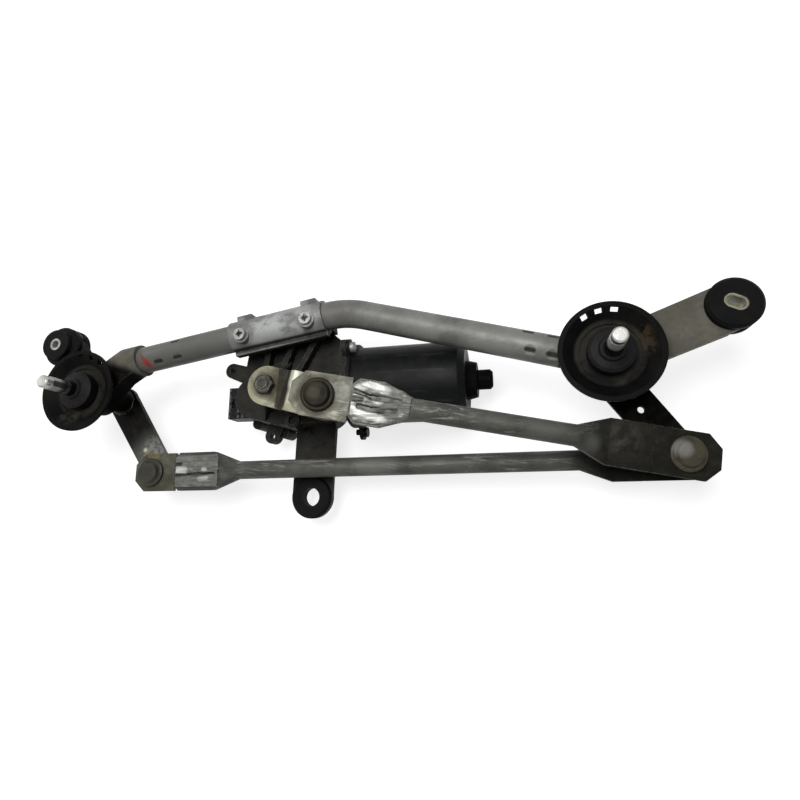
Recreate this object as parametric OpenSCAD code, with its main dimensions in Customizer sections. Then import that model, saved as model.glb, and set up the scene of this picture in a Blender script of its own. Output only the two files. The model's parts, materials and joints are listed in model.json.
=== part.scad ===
// Windscreen wiper linkage: a bent frame tube carries two pivots and a geared motor, whose crank
// drives the right lever by one rod, and a second rod ties the left lever to the right one.
// Origin: middle of the lower mounting bore. +Z runs along the pivot shafts towards the wiper arms,
// +X from the left pivot to the right one.

/* [Layout] */
// Output shaft, X from the lower mounting bore
output_x = -18.5; // [-20:0.5:-17]
// Output shaft, Y from the lower mounting bore
output_y = 84; // [83:0.5:85]
// Right pivot, X from the lower mounting bore
right_pivot_x = 232; // [228:0.5:236]
// Right pivot, Y from the lower mounting bore
right_pivot_y = 92; // [90:0.5:95]
// Left pivot, X from the lower mounting bore
left_pivot_x = -186.5; // [-190:0.5:-183]
// Left pivot, Y from the lower mounting bore
left_pivot_y = 87; // [85:0.5:89]
// Length of both levers between pivot and ball joint
lever_length = 80.5; // [78:0.5:84]
// Angle of both levers at rest, from +X
lever_angle = -55; // [-58:0.5:-52]
// Crank radius
crank_radius = 54.5; // [52:0.5:56]
// Angle of the crank at rest, from +X
crank_angle = -16; // [-18:0.5:-12]

/* [Frame tube] */
// Outside diameter of the frame tube
tube_d = 22.2; // [20:0.2:24]
// Wall of the frame tube
tube_wall = 1.6; // [1.2:0.1:2.4]
// Height of the tube's axis above the middle of the lower mount
tube_z = 44; // [43:0.5:48]
// X of the corner where the tube's two straight lines meet
tube_corner_x = 41; // [38:0.5:44]
// Y of that corner
tube_corner_y = 143.5; // [142:0.5:146]
// Slope of the left straight part, degrees
tube_left_slope = 8.8; // [7:0.1:10]
// Slope of the right straight part, degrees
tube_right_slope = -15.5; // [-17:0.1:-14]
// Radius of the bend, on the tube's axis
tube_bend_r = 75; // [60:5:90]
// Left straight part, from the corner to the tube's end
tube_left_reach = 184; // [178:1:188]
// Right straight part, from the corner to the tube's end
tube_right_reach = 167; // [162:1:171]

/* [Pivots] */
// Diameter of the pivot shafts
shaft_d = 12; // [11:0.5:13]
// Diameter of the shaft tips that carry the wiper arms
shaft_tip_d = 10; // [8.5:0.5:10.5]
// Length of the shaft tips
shaft_tip_length = 19; // [14:1:22]
// Height of the shaft's shoulder under the tip
shaft_shoulder_z = 76; // [74:0.5:80]
// Height of the barrels' upper mouth
barrel_top = 65; // [63:0.5:67]
// Outside diameter of the bearing barrels
barrel_d = 26; // [24:0.5:28]
// Length of one bearing bush
bush_length = 15; // [10:1:18]
// Wall of a bearing bush
bush_wall = 2; // [1.5:0.25:2.5]
// Rim diameter of the drain cups
cup_d = 68; // [66:1:72]
// Depth of the drain cups
cup_depth = 9; // [8:0.5:12]
// Wall of the drain cups
cup_wall = 2; // [1.6:0.1:2.6]
// Wall of the rubber cap over the barrel's mouth
seal_wall = 2; // [1.5:0.25:2.5]

/* [Levers and rods] */
// Thickness of the lever plates
lever_t = 4; // [3:0.5:5]
// Underside of the left lever
left_lever_z = 8; // [7:0.5:10]
// Underside of the right lever
right_lever_z = 20; // [18:0.5:22]
// Width of the levers at the pivot
lever_root_d = 28; // [26:1:31]
// Width of the levers at the ball joint
lever_end_d = 26; // [24:1:28]
// Tooling hole in the right lever
lever_hole_d = 5; // [4:0.2:8]
// Outside diameter of both rods
rod_d = 15; // [13:0.5:16]
// Wall of both rods
rod_wall = 1.5; // [1:0.1:2]
// Thickness of the flattened rod ends
rod_end_t = 4.5; // [3.5:0.5:5.5]
// Width of the flattened rod ends
rod_end_w = 32; // [29:0.5:34]
// Corner chamfer of the flattened rod ends
rod_end_chamfer = 9; // [5:0.5:10]
// Length of the squeeze from flat end to round tube
rod_squeeze = 22; // [16:1:28]
// Ball diameter of the joints
ball_d = 13; // [12:0.5:14]
// Diameter of the round cap over each ball
socket_cap_d = 24; // [22:0.5:26]
// Height of a lever's ball over its plate
ball_rise = 9; // [8.5:0.5:10]
// Height of the crank's ball over its arm
crank_ball_rise = 12.5; // [12:0.5:14]

/* [Crank and motor] */
// Thickness of the crank plate
crank_t = 4.5; // [3.5:0.5:5.5]
// Width of the crank plate
crank_w = 31; // [29:0.5:32]
// Rise from the crank's hub to its outer arm
crank_joggle = 9; // [8.5:0.5:10]
// Diameter of the threaded output stud
stud_d = 10; // [8:0.5:10]
// Width across the flats of the crank nut
nut_flats = 14; // [13:0.5:17]
// Height of the crank nut
nut_h = 6; // [5:0.5:6.5]
// Outside diameter of the motor yoke
yoke_d = 64; // [60:1:66]
// Wall of the motor yoke
yoke_wall = 2.5; // [2:0.25:3]
// Length of the motor yoke's drum
yoke_length = 92; // [86:1:96]
// Motor axis, Y from the lower mounting bore
motor_y = 91.5; // [90:0.5:93]
// Height of the motor axis
motor_z = 6; // [4:0.5:7]
// Face of the gear housing that the yoke is screwed to
flange_x = 40; // [39:0.5:43]
// Wall of the gear housing
housing_wall = 3; // [2.5:0.5:4]
// Thickness of the tube saddle
saddle_t = 2; // [1.5:0.25:2.5]
// Length of the tube saddle
saddle_length = 80; // [76:1:82]

/* [Mounts] */
// Outside diameter of the round rubber grommets
grommet_d = 35; // [33:0.5:37]
// Height of the lower grommet
lower_grommet_h = 10; // [10:1:14]
// Bore of the lower grommet
lower_bore_d = 15; // [12:0.5:17]
// Height of the left and right grommets
grommet_h = 17; // [15:1:19]
// Left mount, X from the left pivot
left_mount_dx = -32.5; // [-36:0.5:-31]
// Left mount, Y from the left pivot
left_mount_dy = 43.5; // [42:0.5:46]
// Bore of the left mount's sleeve
left_bore_d = 6.4; // [5:0.2:8.4]
// Right mount, X from the right pivot
right_mount_dx = 79.5; // [76:0.5:84]
// Right mount, Y from the right pivot
right_mount_dy = 30; // [26:0.5:34]
// Length of the right mount's oblong hole
right_slot_length = 12; // [10:0.5:14]
// Width of the right mount's oblong hole
right_slot_w = 7; // [6.2:0.2:8]
// Thickness of the ears that hold the grommets
ear_t = 5; // [4:0.5:6]

/* [Hidden] */
$fn = 72;

// Clearances: fixed seats, running fits, moving pieces that only pass each other
seat_gap = 0.02;
run_gap = 0.05;
free_gap = 0.4;
// Overlap that carries a cut past a face
cut = 1;
// Inset of a flat bar's sides from the common tangents of its round ends
side_inset = 0.03;

// Colours
steel_grey = "#8d8f84";
cast_grey = "#7f8177";
casting_dark = "#3a3b3d";
black_plastic = "#1d1d1f";
black_rubber = "#17171a";
black_paint = "#202124";
zinc_yellow = "#a08f62";
bright_steel = "#c9c9c6";
socket_brown = "#4a3b2c";
copper = "#b0713f";
white_plastic = "#d8d4c8";
magnet_grey = "#55565a";
core_grey = "#8a8a8a";

// Shared levels and points
output = [output_x, output_y];
right_pivot = [right_pivot_x, right_pivot_y];
left_pivot = [left_pivot_x, left_pivot_y];
lever_step = lever_length * [cos(lever_angle), sin(lever_angle)];
right_joint = right_pivot + lever_step;
left_joint = left_pivot + lever_step;
right_mount = right_pivot + [right_mount_dx, right_mount_dy];
left_mount = left_pivot + [left_mount_dx, left_mount_dy];

shaft_r = shaft_d / 2;
tube_r = tube_d / 2;
tube_bore_r = tube_r - tube_wall;
washer_t = 1.6;
lever_side_gap = 2;
left_lever_top = left_lever_z + lever_t;
right_lever_top = right_lever_z + lever_t;
left_barrel_z = left_lever_top + washer_t + free_gap;
right_barrel_z = right_lever_top + washer_t + free_gap;
bush_r = shaft_r + run_gap + bush_wall;
barrel_bore_r = bush_r + seat_gap;
cup_z = tube_z + tube_r + 1;
cup_hub_r = barrel_d / 2;
shoulder_r = cup_hub_r + 3;
shaft_shoulder_taper = 3;
shaft_tip_top = shaft_shoulder_z + shaft_shoulder_taper + shaft_tip_length;

// Saddle, its screws and the crank that turns above them
screw_head_h = 3.2;
screw_head_r = 4.8;
screw_r = 3;
screw_reach = tube_d + 4;
screw_seat_rise = 0.3;
saddle_top = tube_z + tube_r + saddle_t + screw_seat_rise;
crank_z = saddle_top + screw_head_h + 0.7;
crank_top = crank_z + crank_t;
hub_z = crank_z - crank_joggle;
hub_top = hub_z + crank_t;
stud_top = hub_top + nut_h + 1;
crank_joint = output + crank_radius * [cos(crank_angle), sin(crank_angle)];

// Ball joints: the drive rod and the left end of the link rod lie over the plate that carries
// the ball, and the right end of the link rod hangs under the right lever
crank_ball_z = crank_top + crank_ball_rise;
right_upper_ball_z = right_lever_top + ball_rise;
right_lower_ball_z = right_lever_z - ball_rise;
left_ball_z = left_lever_top + ball_rise;

// Rod ends: joint plate, its tongue and the flattened tube round it
plate_t = 3;
plate_z = rod_end_t / 2 - plate_t;
plate_end = 23;
tongue_w = 20;
tongue_length = 14;
flat_t = rod_end_t + rod_wall;
near_chamfer = 5;
far_chamfer = 0.6;
// Length of each rod's flattened ends from the balls, and how far the plates reach past them
drive_flats = [46, 52];
link_flats = [60, 44];
drive_reaches = [20, 22];
link_reaches = [15, 20];

// Frame tube: unit directions and the straight lengths left beside the bend
tube_corner = [tube_corner_x, tube_corner_y];
tube_turn = tube_left_slope - tube_right_slope;
bend_tangent = tube_bend_r * tan(tube_turn / 2);
bend_lap = 1;
bend_swell = 0.05;
left_dir = [cos(tube_left_slope), sin(tube_left_slope)];
right_dir = [cos(tube_right_slope), sin(tube_right_slope)];
tube_left_end = tube_corner - tube_left_reach * left_dir;
tube_right_end = tube_corner + tube_right_reach * right_dir;
spigot_length = 24;
spigot_r = tube_bore_r - seat_gap;
// Distances along the left straight part, from the corner back to the saddle and its screws
saddle_near = bend_tangent + 1;
screw_inset = 12;
saddle_screw_at = [saddle_near + screw_inset, saddle_near + saddle_length - screw_inset];
saddle_screw_side = -4;
ledge_w = 5;
tab_w = 13;

// Gear train: worm on the armature, counter gear, output gear
output_gear_r = 22;
pinion_r = 6;
worm_r = 5;
worm_wheel_r = 11.5;
gear_clear = 0.3;
counter_y = motor_y - worm_r - worm_wheel_r - gear_clear;
counter_reach = output_gear_r + pinion_r + gear_clear;
counter_dy = counter_y - output_y;
counter = [output_x + sqrt(counter_reach * counter_reach - counter_dy * counter_dy), counter_y];
worm_wheel_t = 8;
worm_wheel_z = motor_z - worm_wheel_t / 2;
counter_pin_r = 3;
output_gear_z = motor_z + worm_r + 1.2;
output_gear_t = 10;
cavity_gap = 1.6;
cavity_top = output_gear_z + output_gear_t + cavity_gap;
deck_top = cavity_top + housing_wall;
housing_bottom = motor_z - worm_wheel_r - 10;
cover_t = 2.5;
gear_case_r = output_gear_r + cavity_gap;
chamber = output + [-25.5, -2];
chamber_r = 15;
cover_screw_at = [[-11, -28.5], [20, -28], [8, 29], [-35.5, 16], [-35.5, -20]];
cover_boss_r = 5;
cover_boss_h = 16;
cover_screw_r = 2;
cover_screw_depth = 10;
output_shaft_r = stud_d / 2 + 1;
output_bush_r = output_shaft_r + run_gap + 2;
output_boss_r = output_bush_r + 4;
output_boss_top = hub_z - 0.8;

// Motor
yoke_r = yoke_d / 2;
yoke_flange_r = yoke_r + 3;
yoke_flange_t = 3;
flange_t = 4;
yoke_screw_r = 2.5;
yoke_screw_ring = yoke_flange_r + 4;
yoke_screw_turns = [50, 196];
yoke_screw_depth = 4;
yoke_ear_r = yoke_screw_r + 4;
armature_r = yoke_r - yoke_wall - 7.5;
armature_shaft_r = 4;
commutator_r = 10;
commutator_x = flange_x + 10;
commutator_length = 14;
core_x = flange_x + 33;
core_length = 44;
worm_bore_r = worm_r + 2;
worm_length = 18;
worm_bore_x = counter.x - worm_length / 2 - 3;
bearing_step_r = 16;
bearing_step_length = 8;
bearing_cap_r = 8;
bearing_cap_length = 12;

// Grommets
lower_neck_r = lower_bore_d / 2 + 5;
side_neck_r = 12;
left_sleeve_r = left_bore_d / 2 + 2;
ear_z = tube_z + 1;
slot_sleeve_wall = 1.4;
slot_heading = -28;
left_collar_h = 5;

// Connector: middle of its mouth, size, wall and depth
connector_at = [chamber.x - chamber_r - 13, 79, 12];
connector_size = [24, 27, 16];
connector_wall = 1.6;
connector_depth = 7.5;

// Gear train: heading from the output gear to the counter gear, and teeth
gear_heading = atan2(counter.y - output.y, counter.x - output.x);
output_teeth = 44;
pinion_teeth = 12;
wheel_teeth = 24;

// Ball studs and sockets: shank, collar and neck, the seat in the plate, the stub under a free ball
rivet_r = 4;
collar_r = 6.5;
neck_r = 3.6;
insert_r = 9.2;
stub_h = 1.3;

// Rods: length between the balls, and the drive tube's rise over them
drive_span = rod_span(crank_joint, crank_ball_z, right_joint, right_upper_ball_z);
drive_lift = rod_d / 2 - rod_end_t / 2;
link_span = rod_span(left_joint, left_ball_z, right_joint, right_lower_ball_z);

// Flat outline of two round ends joined by straight sides just inside their common tangents
module bar2d(a, ra, b, rb) {
    gap = b - a;
    span = norm(gap);
    lean = acos((ra - rb) / span);
    heading = atan2(gap.y, gap.x);
    up = [cos(heading + lean), sin(heading + lean)];
    down = [cos(heading - lean), sin(heading - lean)];
    side_a = ra - side_inset;
    side_b = rb - side_inset;
    translate(a) circle(r = ra);
    translate(b) circle(r = rb);
    polygon([a + side_a * up, a + side_a * down, b + side_b * down, b + side_b * up]);
}

// Round tube along +X
module tube_x(r, bore_r, length) {
    rotate([0, 90, 0]) linear_extrude(length) difference() {
        circle(r = r);
        circle(r = bore_r);
    }
}

// Solid round bar along +X
module bar_x(r, length) {
    rotate([0, 90, 0]) cylinder(r = r, h = length);
}

// Places its children at a point of the left straight part, with +X along the tube to the right
module on_left_straight(from_corner) {
    at = tube_corner - from_corner * left_dir;
    translate([at.x, at.y, tube_z]) rotate([0, 0, tube_left_slope]) children();
}

// Places its children at a point of the right straight part, with +X along the tube to the right
module at_saddle_screws() {
    for (at = saddle_screw_at) on_left_straight(at) translate([0, saddle_screw_side, 0]) children();
}

module on_right_straight(from_corner) {
    at = tube_corner + from_corner * right_dir;
    translate([at.x, at.y, tube_z]) rotate([0, 0, tube_right_slope]) children();
}

// Bent bar along the tube's axis, a little fuller in the bend, where the straight parts run into it.
// past carries its ends beyond the tube's own
module bent_bar(r, past) {
    on_left_straight(tube_left_reach + past) bar_x(r, tube_left_reach + past - bend_tangent + bend_lap);
    on_right_straight(bend_tangent - bend_lap) bar_x(r, tube_right_reach + past - bend_tangent + bend_lap);
    on_left_straight(bend_tangent) translate([0, -tube_bend_r, 0])
        rotate([0, 0, 90 - tube_turn]) rotate_extrude(angle = tube_turn)
            translate([tube_bend_r, 0]) circle(r = r + bend_swell);
}

// Frame tube: two straight parts and a bend, drilled for the saddle screws
module frame_tube() {
    color(steel_grey) difference() {
        bent_bar(tube_r, 0);
        bent_bar(tube_bore_r, cut);
        at_saddle_screws()
            cylinder(r = screw_r + 0.2, h = 2 * tube_d, center = true);
    }
}

// Bearing barrel: slender below, with a shoulder that the drain cup sits on
module barrel_solid(barrel_z) {
    shoulder_z = tube_z - tube_r;
    foot_r = barrel_bore_r + 3;
    translate([0, 0, barrel_z]) cylinder(r = foot_r, h = cup_z - barrel_z);
    translate([0, 0, shoulder_z]) cylinder(r = shoulder_r, h = cup_z - shoulder_z);
    translate([0, 0, shoulder_z]) cylinder(r = cup_hub_r, h = barrel_top - shoulder_z);
}

module barrel_bore(barrel_z) {
    translate([0, 0, barrel_z - cut]) cylinder(r = barrel_bore_r, h = barrel_top - barrel_z + 2 * cut);
}

// Left pivot housing: barrel, round hood with a spigot in the tube, web between them and the mount ear
module left_pivot_housing() {
    hood_r = tube_r + 2.4;
    hood_length = 14;
    hood_end = tube_left_end - hood_length * left_dir;
    web_h = 16;
    web_corner = tube_left_end + (tube_r - 2) * [left_dir.y, -left_dir.x];
    ear_r = grommet_d / 2 - 1;
    color(cast_grey) difference() {
        union() {
            translate(left_pivot) barrel_solid(left_barrel_z);
            on_left_straight(tube_left_reach) {
                translate([-hood_length, 0, 0]) bar_x(hood_r, hood_length);
                translate([-hood_length, 0, 0]) rotate([0, 90, 0]) sphere(r = hood_r + bend_swell);
                translate([-cut, 0, 0]) bar_x(spigot_r, spigot_length + cut);
            }
            translate([0, 0, tube_z - web_h / 2]) linear_extrude(web_h) {
                bar2d(left_pivot, shoulder_r, hood_end, tube_r);
                polygon([left_pivot, left_pivot + [shoulder_r - cut, 0], web_corner, hood_end]);
            }
            translate([0, 0, ear_z]) linear_extrude(ear_t)
                bar2d(left_pivot, shoulder_r, left_mount, ear_r);
        }
        translate(left_pivot) barrel_bore(left_barrel_z);
        translate([left_mount.x, left_mount.y, ear_z - cut])
            cylinder(r = side_neck_r + seat_gap, h = ear_t + 2 * cut);
    }
}

// Right pivot housing: barrel, neck with a spigot in the tube, long ear with a raised rim
module right_pivot_housing() {
    neck_length = 34;
    rim = 3;
    rim_drop = 4;
    ear_r = grommet_d / 2 - 1;
    color(cast_grey) difference() {
        union() {
            translate(right_pivot) barrel_solid(right_barrel_z);
            on_right_straight(tube_right_reach) {
                bar_x(tube_r, neck_length);
                translate([-spigot_length, 0, 0]) bar_x(spigot_r, spigot_length + cut);
            }
            translate([0, 0, ear_z]) linear_extrude(ear_t)
                bar2d(right_pivot, shoulder_r, right_mount, ear_r);
            translate([0, 0, ear_z - rim_drop]) linear_extrude(rim_drop + cut) difference() {
                bar2d(right_pivot, shoulder_r, right_mount, ear_r);
                bar2d(right_pivot, shoulder_r - rim, right_mount, ear_r - rim);
                translate(right_mount) circle(r = grommet_d / 2 + 1);
            }
        }
        translate(right_pivot) barrel_bore(right_barrel_z);
        translate([right_pivot.x, right_pivot.y, right_lever_top])
            cylinder(r = lever_root_d / 2 + lever_side_gap, h = right_barrel_z - right_lever_top);
        translate([right_mount.x, right_mount.y, ear_z - cut])
            cylinder(r = side_neck_r + seat_gap, h = ear_t + 2 * cut);
    }
}

// Drain cup: a shallow dish on the barrel's shoulder, with drain slots through its sloping wall
module drain_cup(slot_heading) {
    floor_r = cup_d / 2 - 9;
    rim_r = cup_d / 2;
    step_r = floor_r - 5;
    slot_w = 5;
    slot_depth = 3.4;
    slot_r = rim_r - 2.4 * cup_wall;
    slot_pitch = 20;
    difference() {
        rotate_extrude() polygon([
            [cup_hub_r + seat_gap, 0], [floor_r, 0], [rim_r - cup_wall, cup_depth - cup_wall],
            [rim_r, cup_depth - cup_wall], [rim_r, cup_depth],
            [rim_r - 1.6 * cup_wall, cup_depth], [floor_r - cup_wall, 1.6 * cup_wall],
            [step_r, 1.6 * cup_wall], [step_r, cup_wall], [cup_hub_r + seat_gap, cup_wall]]);
        for (turn = [-1:1]) rotate([0, 0, slot_heading + turn * slot_pitch])
            translate([slot_r - slot_depth / 2, -slot_w / 2, -cut])
                cube([slot_depth, slot_w, cup_depth + 2 * cut]);
    }
}

module left_drain_cup() {
    color(black_plastic) translate([left_pivot.x, left_pivot.y, cup_z]) drain_cup(70);
}

module right_drain_cup() {
    color(black_plastic) translate([right_pivot.x, right_pivot.y, cup_z]) drain_cup(102);
}

// Two plain bushes, one at each end of a barrel
module pivot_bushes(barrel_z) {
    for (at = [barrel_z, barrel_top - bush_length]) translate([0, 0, at])
        linear_extrude(bush_length) difference() {
            circle(r = bush_r);
            circle(r = shaft_r + run_gap);
        }
}

module left_pivot_bushes() {
    color(copper) translate(left_pivot) pivot_bushes(left_barrel_z);
}

module right_pivot_bushes() {
    color(copper) translate(right_pivot) pivot_bushes(right_barrel_z);
}

// Rubber grommet: two flanges with a groove for the ear, centred on the ear's middle
module grommet(neck_r, height, groove, bore_r) {
    flange_r = grommet_d / 2;
    lip = 2;
    half = height / 2;
    rotate_extrude() polygon([
        [bore_r, -half], [flange_r - lip, -half], [flange_r, -half + lip],
        [flange_r, -groove / 2 - seat_gap], [neck_r, -groove / 2 - seat_gap],
        [neck_r, groove / 2 + seat_gap], [flange_r, groove / 2 + seat_gap],
        [flange_r, half - lip], [flange_r - lip, half], [bore_r, half]]);
}

// Left grommet carries a raised collar around its sleeve
module left_mount_grommet() {
    side_collar_r = 13;
    color(black_rubber) translate([left_mount.x, left_mount.y, ear_z + ear_t / 2]) {
        grommet(side_neck_r, grommet_h, ear_t, left_sleeve_r + seat_gap);
        translate([0, 0, grommet_h / 2]) linear_extrude(left_collar_h) difference() {
            circle(r = side_collar_r);
            circle(r = left_sleeve_r + seat_gap);
        }
    }
}

module left_mount_sleeve() {
    color(bright_steel) translate([left_mount.x, left_mount.y, ear_z + ear_t / 2 - grommet_h / 2])
        linear_extrude(grommet_h + left_collar_h) difference() {
            circle(r = left_sleeve_r);
            circle(d = left_bore_d);
        }
}

// Oblong outline of the right mount's hole
module slot2d(length, width) {
    half = (length - width) / 2;
    rotate(slot_heading) bar2d([-half, 0], width / 2, [half, 0], width / 2);
}

module right_mount_grommet() {
    color(black_rubber) translate([right_mount.x, right_mount.y, ear_z + ear_t / 2]) difference() {
        grommet(side_neck_r, grommet_h, ear_t, 2);
        translate([0, 0, -grommet_h]) linear_extrude(2 * grommet_h)
            slot2d(right_slot_length + 2 * (slot_sleeve_wall + seat_gap),
                right_slot_w + 2 * (slot_sleeve_wall + seat_gap));
    }
}

module right_mount_sleeve() {
    color(zinc_yellow) translate([right_mount.x, right_mount.y, ear_z + ear_t / 2 - grommet_h / 2])
        linear_extrude(grommet_h) difference() {
            slot2d(right_slot_length + 2 * slot_sleeve_wall, right_slot_w + 2 * slot_sleeve_wall);
            slot2d(right_slot_length, right_slot_w);
        }
}

module lower_mount_grommet() {
    color(black_rubber) grommet(lower_neck_r, lower_grommet_h, ear_t, lower_bore_d / 2);
}

// Plan of the gear case, grown by one margin: gears, and a chamber on the left for the contacts
module gearbox2d(margin) {
    bar2d(output, gear_case_r + margin, counter, worm_wheel_r + cavity_gap + margin);
    bar2d(output, gear_case_r + margin, chamber, chamber_r + margin);
}

// Bosses for the cover screws stand round the case's edge
module at_cover_screws() {
    for (at = cover_screw_at) translate(output + at) children();
}

// Cradle under the tube: half pipe with ledges, a keel for the screws, ribs and a web to the body
module tube_cradle() {
    cradle_wall = 3;
    ledge_h = 4;
    keel_w = 13;
    keel_sink = 6;
    keel_drop = tube_z - cavity_top + keel_sink;
    on_left_straight(saddle_near + saddle_length) {
        rotate([90, 0, 90]) linear_extrude(saddle_length) difference() {
            union() {
                circle(r = tube_r + cradle_wall);
                translate([-tube_r - ledge_w, -ledge_h]) square([tube_r + ledge_w, ledge_h]);
                translate([-keel_w / 2, -keel_drop]) square([keel_w, keel_drop]);
            }
            circle(r = tube_r + seat_gap);
            translate([-2 * tube_d, 0]) square([4 * tube_d, 2 * tube_d]);
        }
    }
    for (at = saddle_screw_at) on_left_straight(at) translate([-tab_w / 2, tube_r + 1, -ledge_h])
        cube([tab_w, ledge_w - 1, ledge_h]);
}

module cradle_ribs() {
    rib_r = 2.2;
    rib_foot = 4;
    rib_h = tube_z - tube_r - cavity_top + rib_foot;
    // Heading of each rib's foot round the output, and its head's place along the saddle
    ribs = [[128, 0.66], [82, 0.36], [48, 0.06]];
    for (rib = ribs) {
        foot = output + gear_case_r * [cos(rib[0]), sin(rib[0])];
        head = tube_corner - (saddle_near + rib[1] * saddle_length) * left_dir;
        translate([0, 0, cavity_top - rib_foot]) linear_extrude(rib_h) bar2d(foot, rib_r, head, rib_r);
    }
    web_r = 5;
    web_t = 5;
    web_inset = 8;
    near = tube_corner - (saddle_near + web_inset) * left_dir;
    far = tube_corner - (saddle_near + saddle_length - web_inset) * left_dir;
    flange_top = [flange_x - flange_t / 2, motor_y + yoke_flange_r - 6];
    translate([0, 0, cavity_top - web_t]) linear_extrude(web_t) {
        bar2d(output, gear_case_r, near, web_r);
        bar2d(output, gear_case_r, far, web_r);
        bar2d(chamber, chamber_r, far, web_r);
        polygon([output, far, near, flange_top, flange_top - [0, yoke_r]]);
    }
}

// Side lug of the casting, from a root on the case to a drilled eye
module side_lug(root, eye, lug_z, lug_h) {
    eye_r = 6.5;
    root_r = 8;
    hole_r = 2.6;
    translate([0, 0, lug_z]) linear_extrude(lug_h) difference() {
        bar2d(root, root_r, eye, eye_r);
        translate(eye) circle(r = hole_r);
    }
}

// Ribs that stiffen the output boss, standing on the deck
module boss_ribs() {
    rib_t = 3;
    rib_toe = 2;
    headings = [20, 75, 130, 185, 235, 295];
    reach = gear_case_r + housing_wall;
    root = output_boss_r - 1;
    rise = output_boss_top - deck_top - 6;
    for (turn = headings) translate([output.x, output.y, deck_top]) rotate([0, 0, turn])
        translate([0, rib_t / 2, 0]) rotate([90, 0, 0]) linear_extrude(rib_t)
            polygon([[root, -cut], [reach, -cut], [reach, rib_toe], [root, rise]]);
}

// Lower mounting arm: flat plate from the gear case to the lower grommet, with two ribs underneath
module lower_mount_arm() {
    root = [2, output_y - gear_case_r - 2];
    arm_r = grommet_d / 2;
    rib_w = 3;
    rib_drop = 5;
    rib_x = 12;
    rib_start = 20;
    color(casting_dark) difference() {
        union() {
            translate([0, 0, -ear_t / 2]) linear_extrude(ear_t) bar2d(root, arm_r + 0.1, [0, 0], arm_r);
            for (side = [-1, 1]) translate([side * rib_x - rib_w / 2, rib_start, -ear_t / 2 - rib_drop])
                cube([rib_w, root.y - rib_start, ear_t + rib_drop]);
        }
        translate([0, 0, housing_bottom]) linear_extrude(deck_top - housing_bottom) {
            gearbox2d(housing_wall + seat_gap);
            at_cover_screws() circle(r = cover_boss_r + seat_gap);
        }
        translate([0, 0, -ear_t]) cylinder(r = lower_neck_r + seat_gap, h = 2 * ear_t);
    }
}

// Gear housing: one casting with the gear case, motor flange, side lugs and tube cradle
module gear_housing() {
    body_h = deck_top - housing_bottom;
    motor_neck_r = 20;
    boss_flare = 3;
    plug_at = output + [11.5, -24];
    plug_r = 6;
    plug_h = 5;
    plug_recess_r = 3.5;
    lug_h = 8;
    upper_lug = output + [-49.5, 23];
    lower_lug = output + [-19.5, -32];
    color(casting_dark) difference() {
        union() {
            translate([0, 0, housing_bottom]) linear_extrude(body_h) gearbox2d(housing_wall);
            translate([0, 0, housing_bottom]) linear_extrude(cover_boss_h) at_cover_screws()
                circle(r = cover_boss_r);
            translate([output_x, motor_y, motor_z]) bar_x(motor_neck_r, flange_x - output_x);
            translate([flange_x - flange_t, motor_y, motor_z]) bar_x(yoke_flange_r, flange_t);
            translate([-flange_t, 0, 0]) yoke_ears(flange_t);
            translate([output.x, output.y, deck_top - cut]) cylinder(r1 = output_boss_r + boss_flare,
                r2 = output_boss_r, h = output_boss_top - deck_top + cut);
            boss_ribs();
            translate([plug_at.x, plug_at.y, deck_top - plug_h]) cylinder(r = plug_r, h = 2 * plug_h);
            tube_cradle();
            cradle_ribs();
            side_lug(chamber + [-4, chamber_r + 3], upper_lug, cavity_top - lug_h, lug_h);
            side_lug(chamber + [12, -chamber_r], lower_lug, -lug_h / 2, lug_h);
        }
        translate([0, 0, housing_bottom - cut]) linear_extrude(cavity_top - housing_bottom + cut)
            gearbox2d(0);
        translate([worm_bore_x, motor_y, motor_z]) bar_x(worm_bore_r, flange_x + cut - worm_bore_x);
        translate([output.x, output.y, cavity_top - cut])
            cylinder(r = output_bush_r + seat_gap, h = output_boss_top - cavity_top + 2 * cut);
        translate([plug_at.x, plug_at.y, deck_top + 1]) cylinder(r = plug_recess_r, h = 2 * plug_h);
        translate([0, 0, housing_bottom - cut]) linear_extrude(cover_screw_depth + 2 * cut)
            at_cover_screws() circle(r = cover_screw_r + seat_gap);
        at_saddle_screws() translate([0, 0, -screw_reach - 2])
            cylinder(r = screw_r + seat_gap, h = screw_reach + 2);
        at_yoke_screws() translate([-2 * yoke_screw_depth, 0, 0])
            bar_x(yoke_screw_r + seat_gap, 4 * yoke_screw_depth);
    }
    color(casting_dark) translate([counter.x, counter.y, housing_bottom])
        cylinder(r = counter_pin_r, h = cavity_top - housing_bottom + cut);
}

// Two screws hold the yoke's flange
module at_yoke_screws() {
    for (turn = yoke_screw_turns) translate([flange_x, motor_y, motor_z])
        rotate([turn, 0, 0]) translate([0, yoke_screw_ring, 0]) children();
}

// Ears round the yoke screws, from the flange's joint face to +X
module yoke_ears(t) {
    root = yoke_screw_ring - yoke_r;
    at_yoke_screws() {
        bar_x(yoke_ear_r, t);
        translate([0, -root, -yoke_ear_r]) cube([t, root, 2 * yoke_ear_r]);
    }
}

// Bottom cover of the gear case, with a post that keeps the counter gear up
module gear_cover() {
    post_r = counter_pin_r + 2;
    post_h = worm_wheel_z - free_gap - housing_bottom;
    color(black_plastic) {
        translate([0, 0, housing_bottom - cover_t]) linear_extrude(cover_t) difference() {
            union() {
                gearbox2d(housing_wall);
                at_cover_screws() circle(r = cover_boss_r);
            }
            at_cover_screws() circle(r = cover_screw_r + seat_gap);
        }
        translate([counter.x, counter.y, housing_bottom]) linear_extrude(post_h) difference() {
            circle(r = post_r);
            circle(r = counter_pin_r + run_gap);
        }
    }
}

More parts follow.
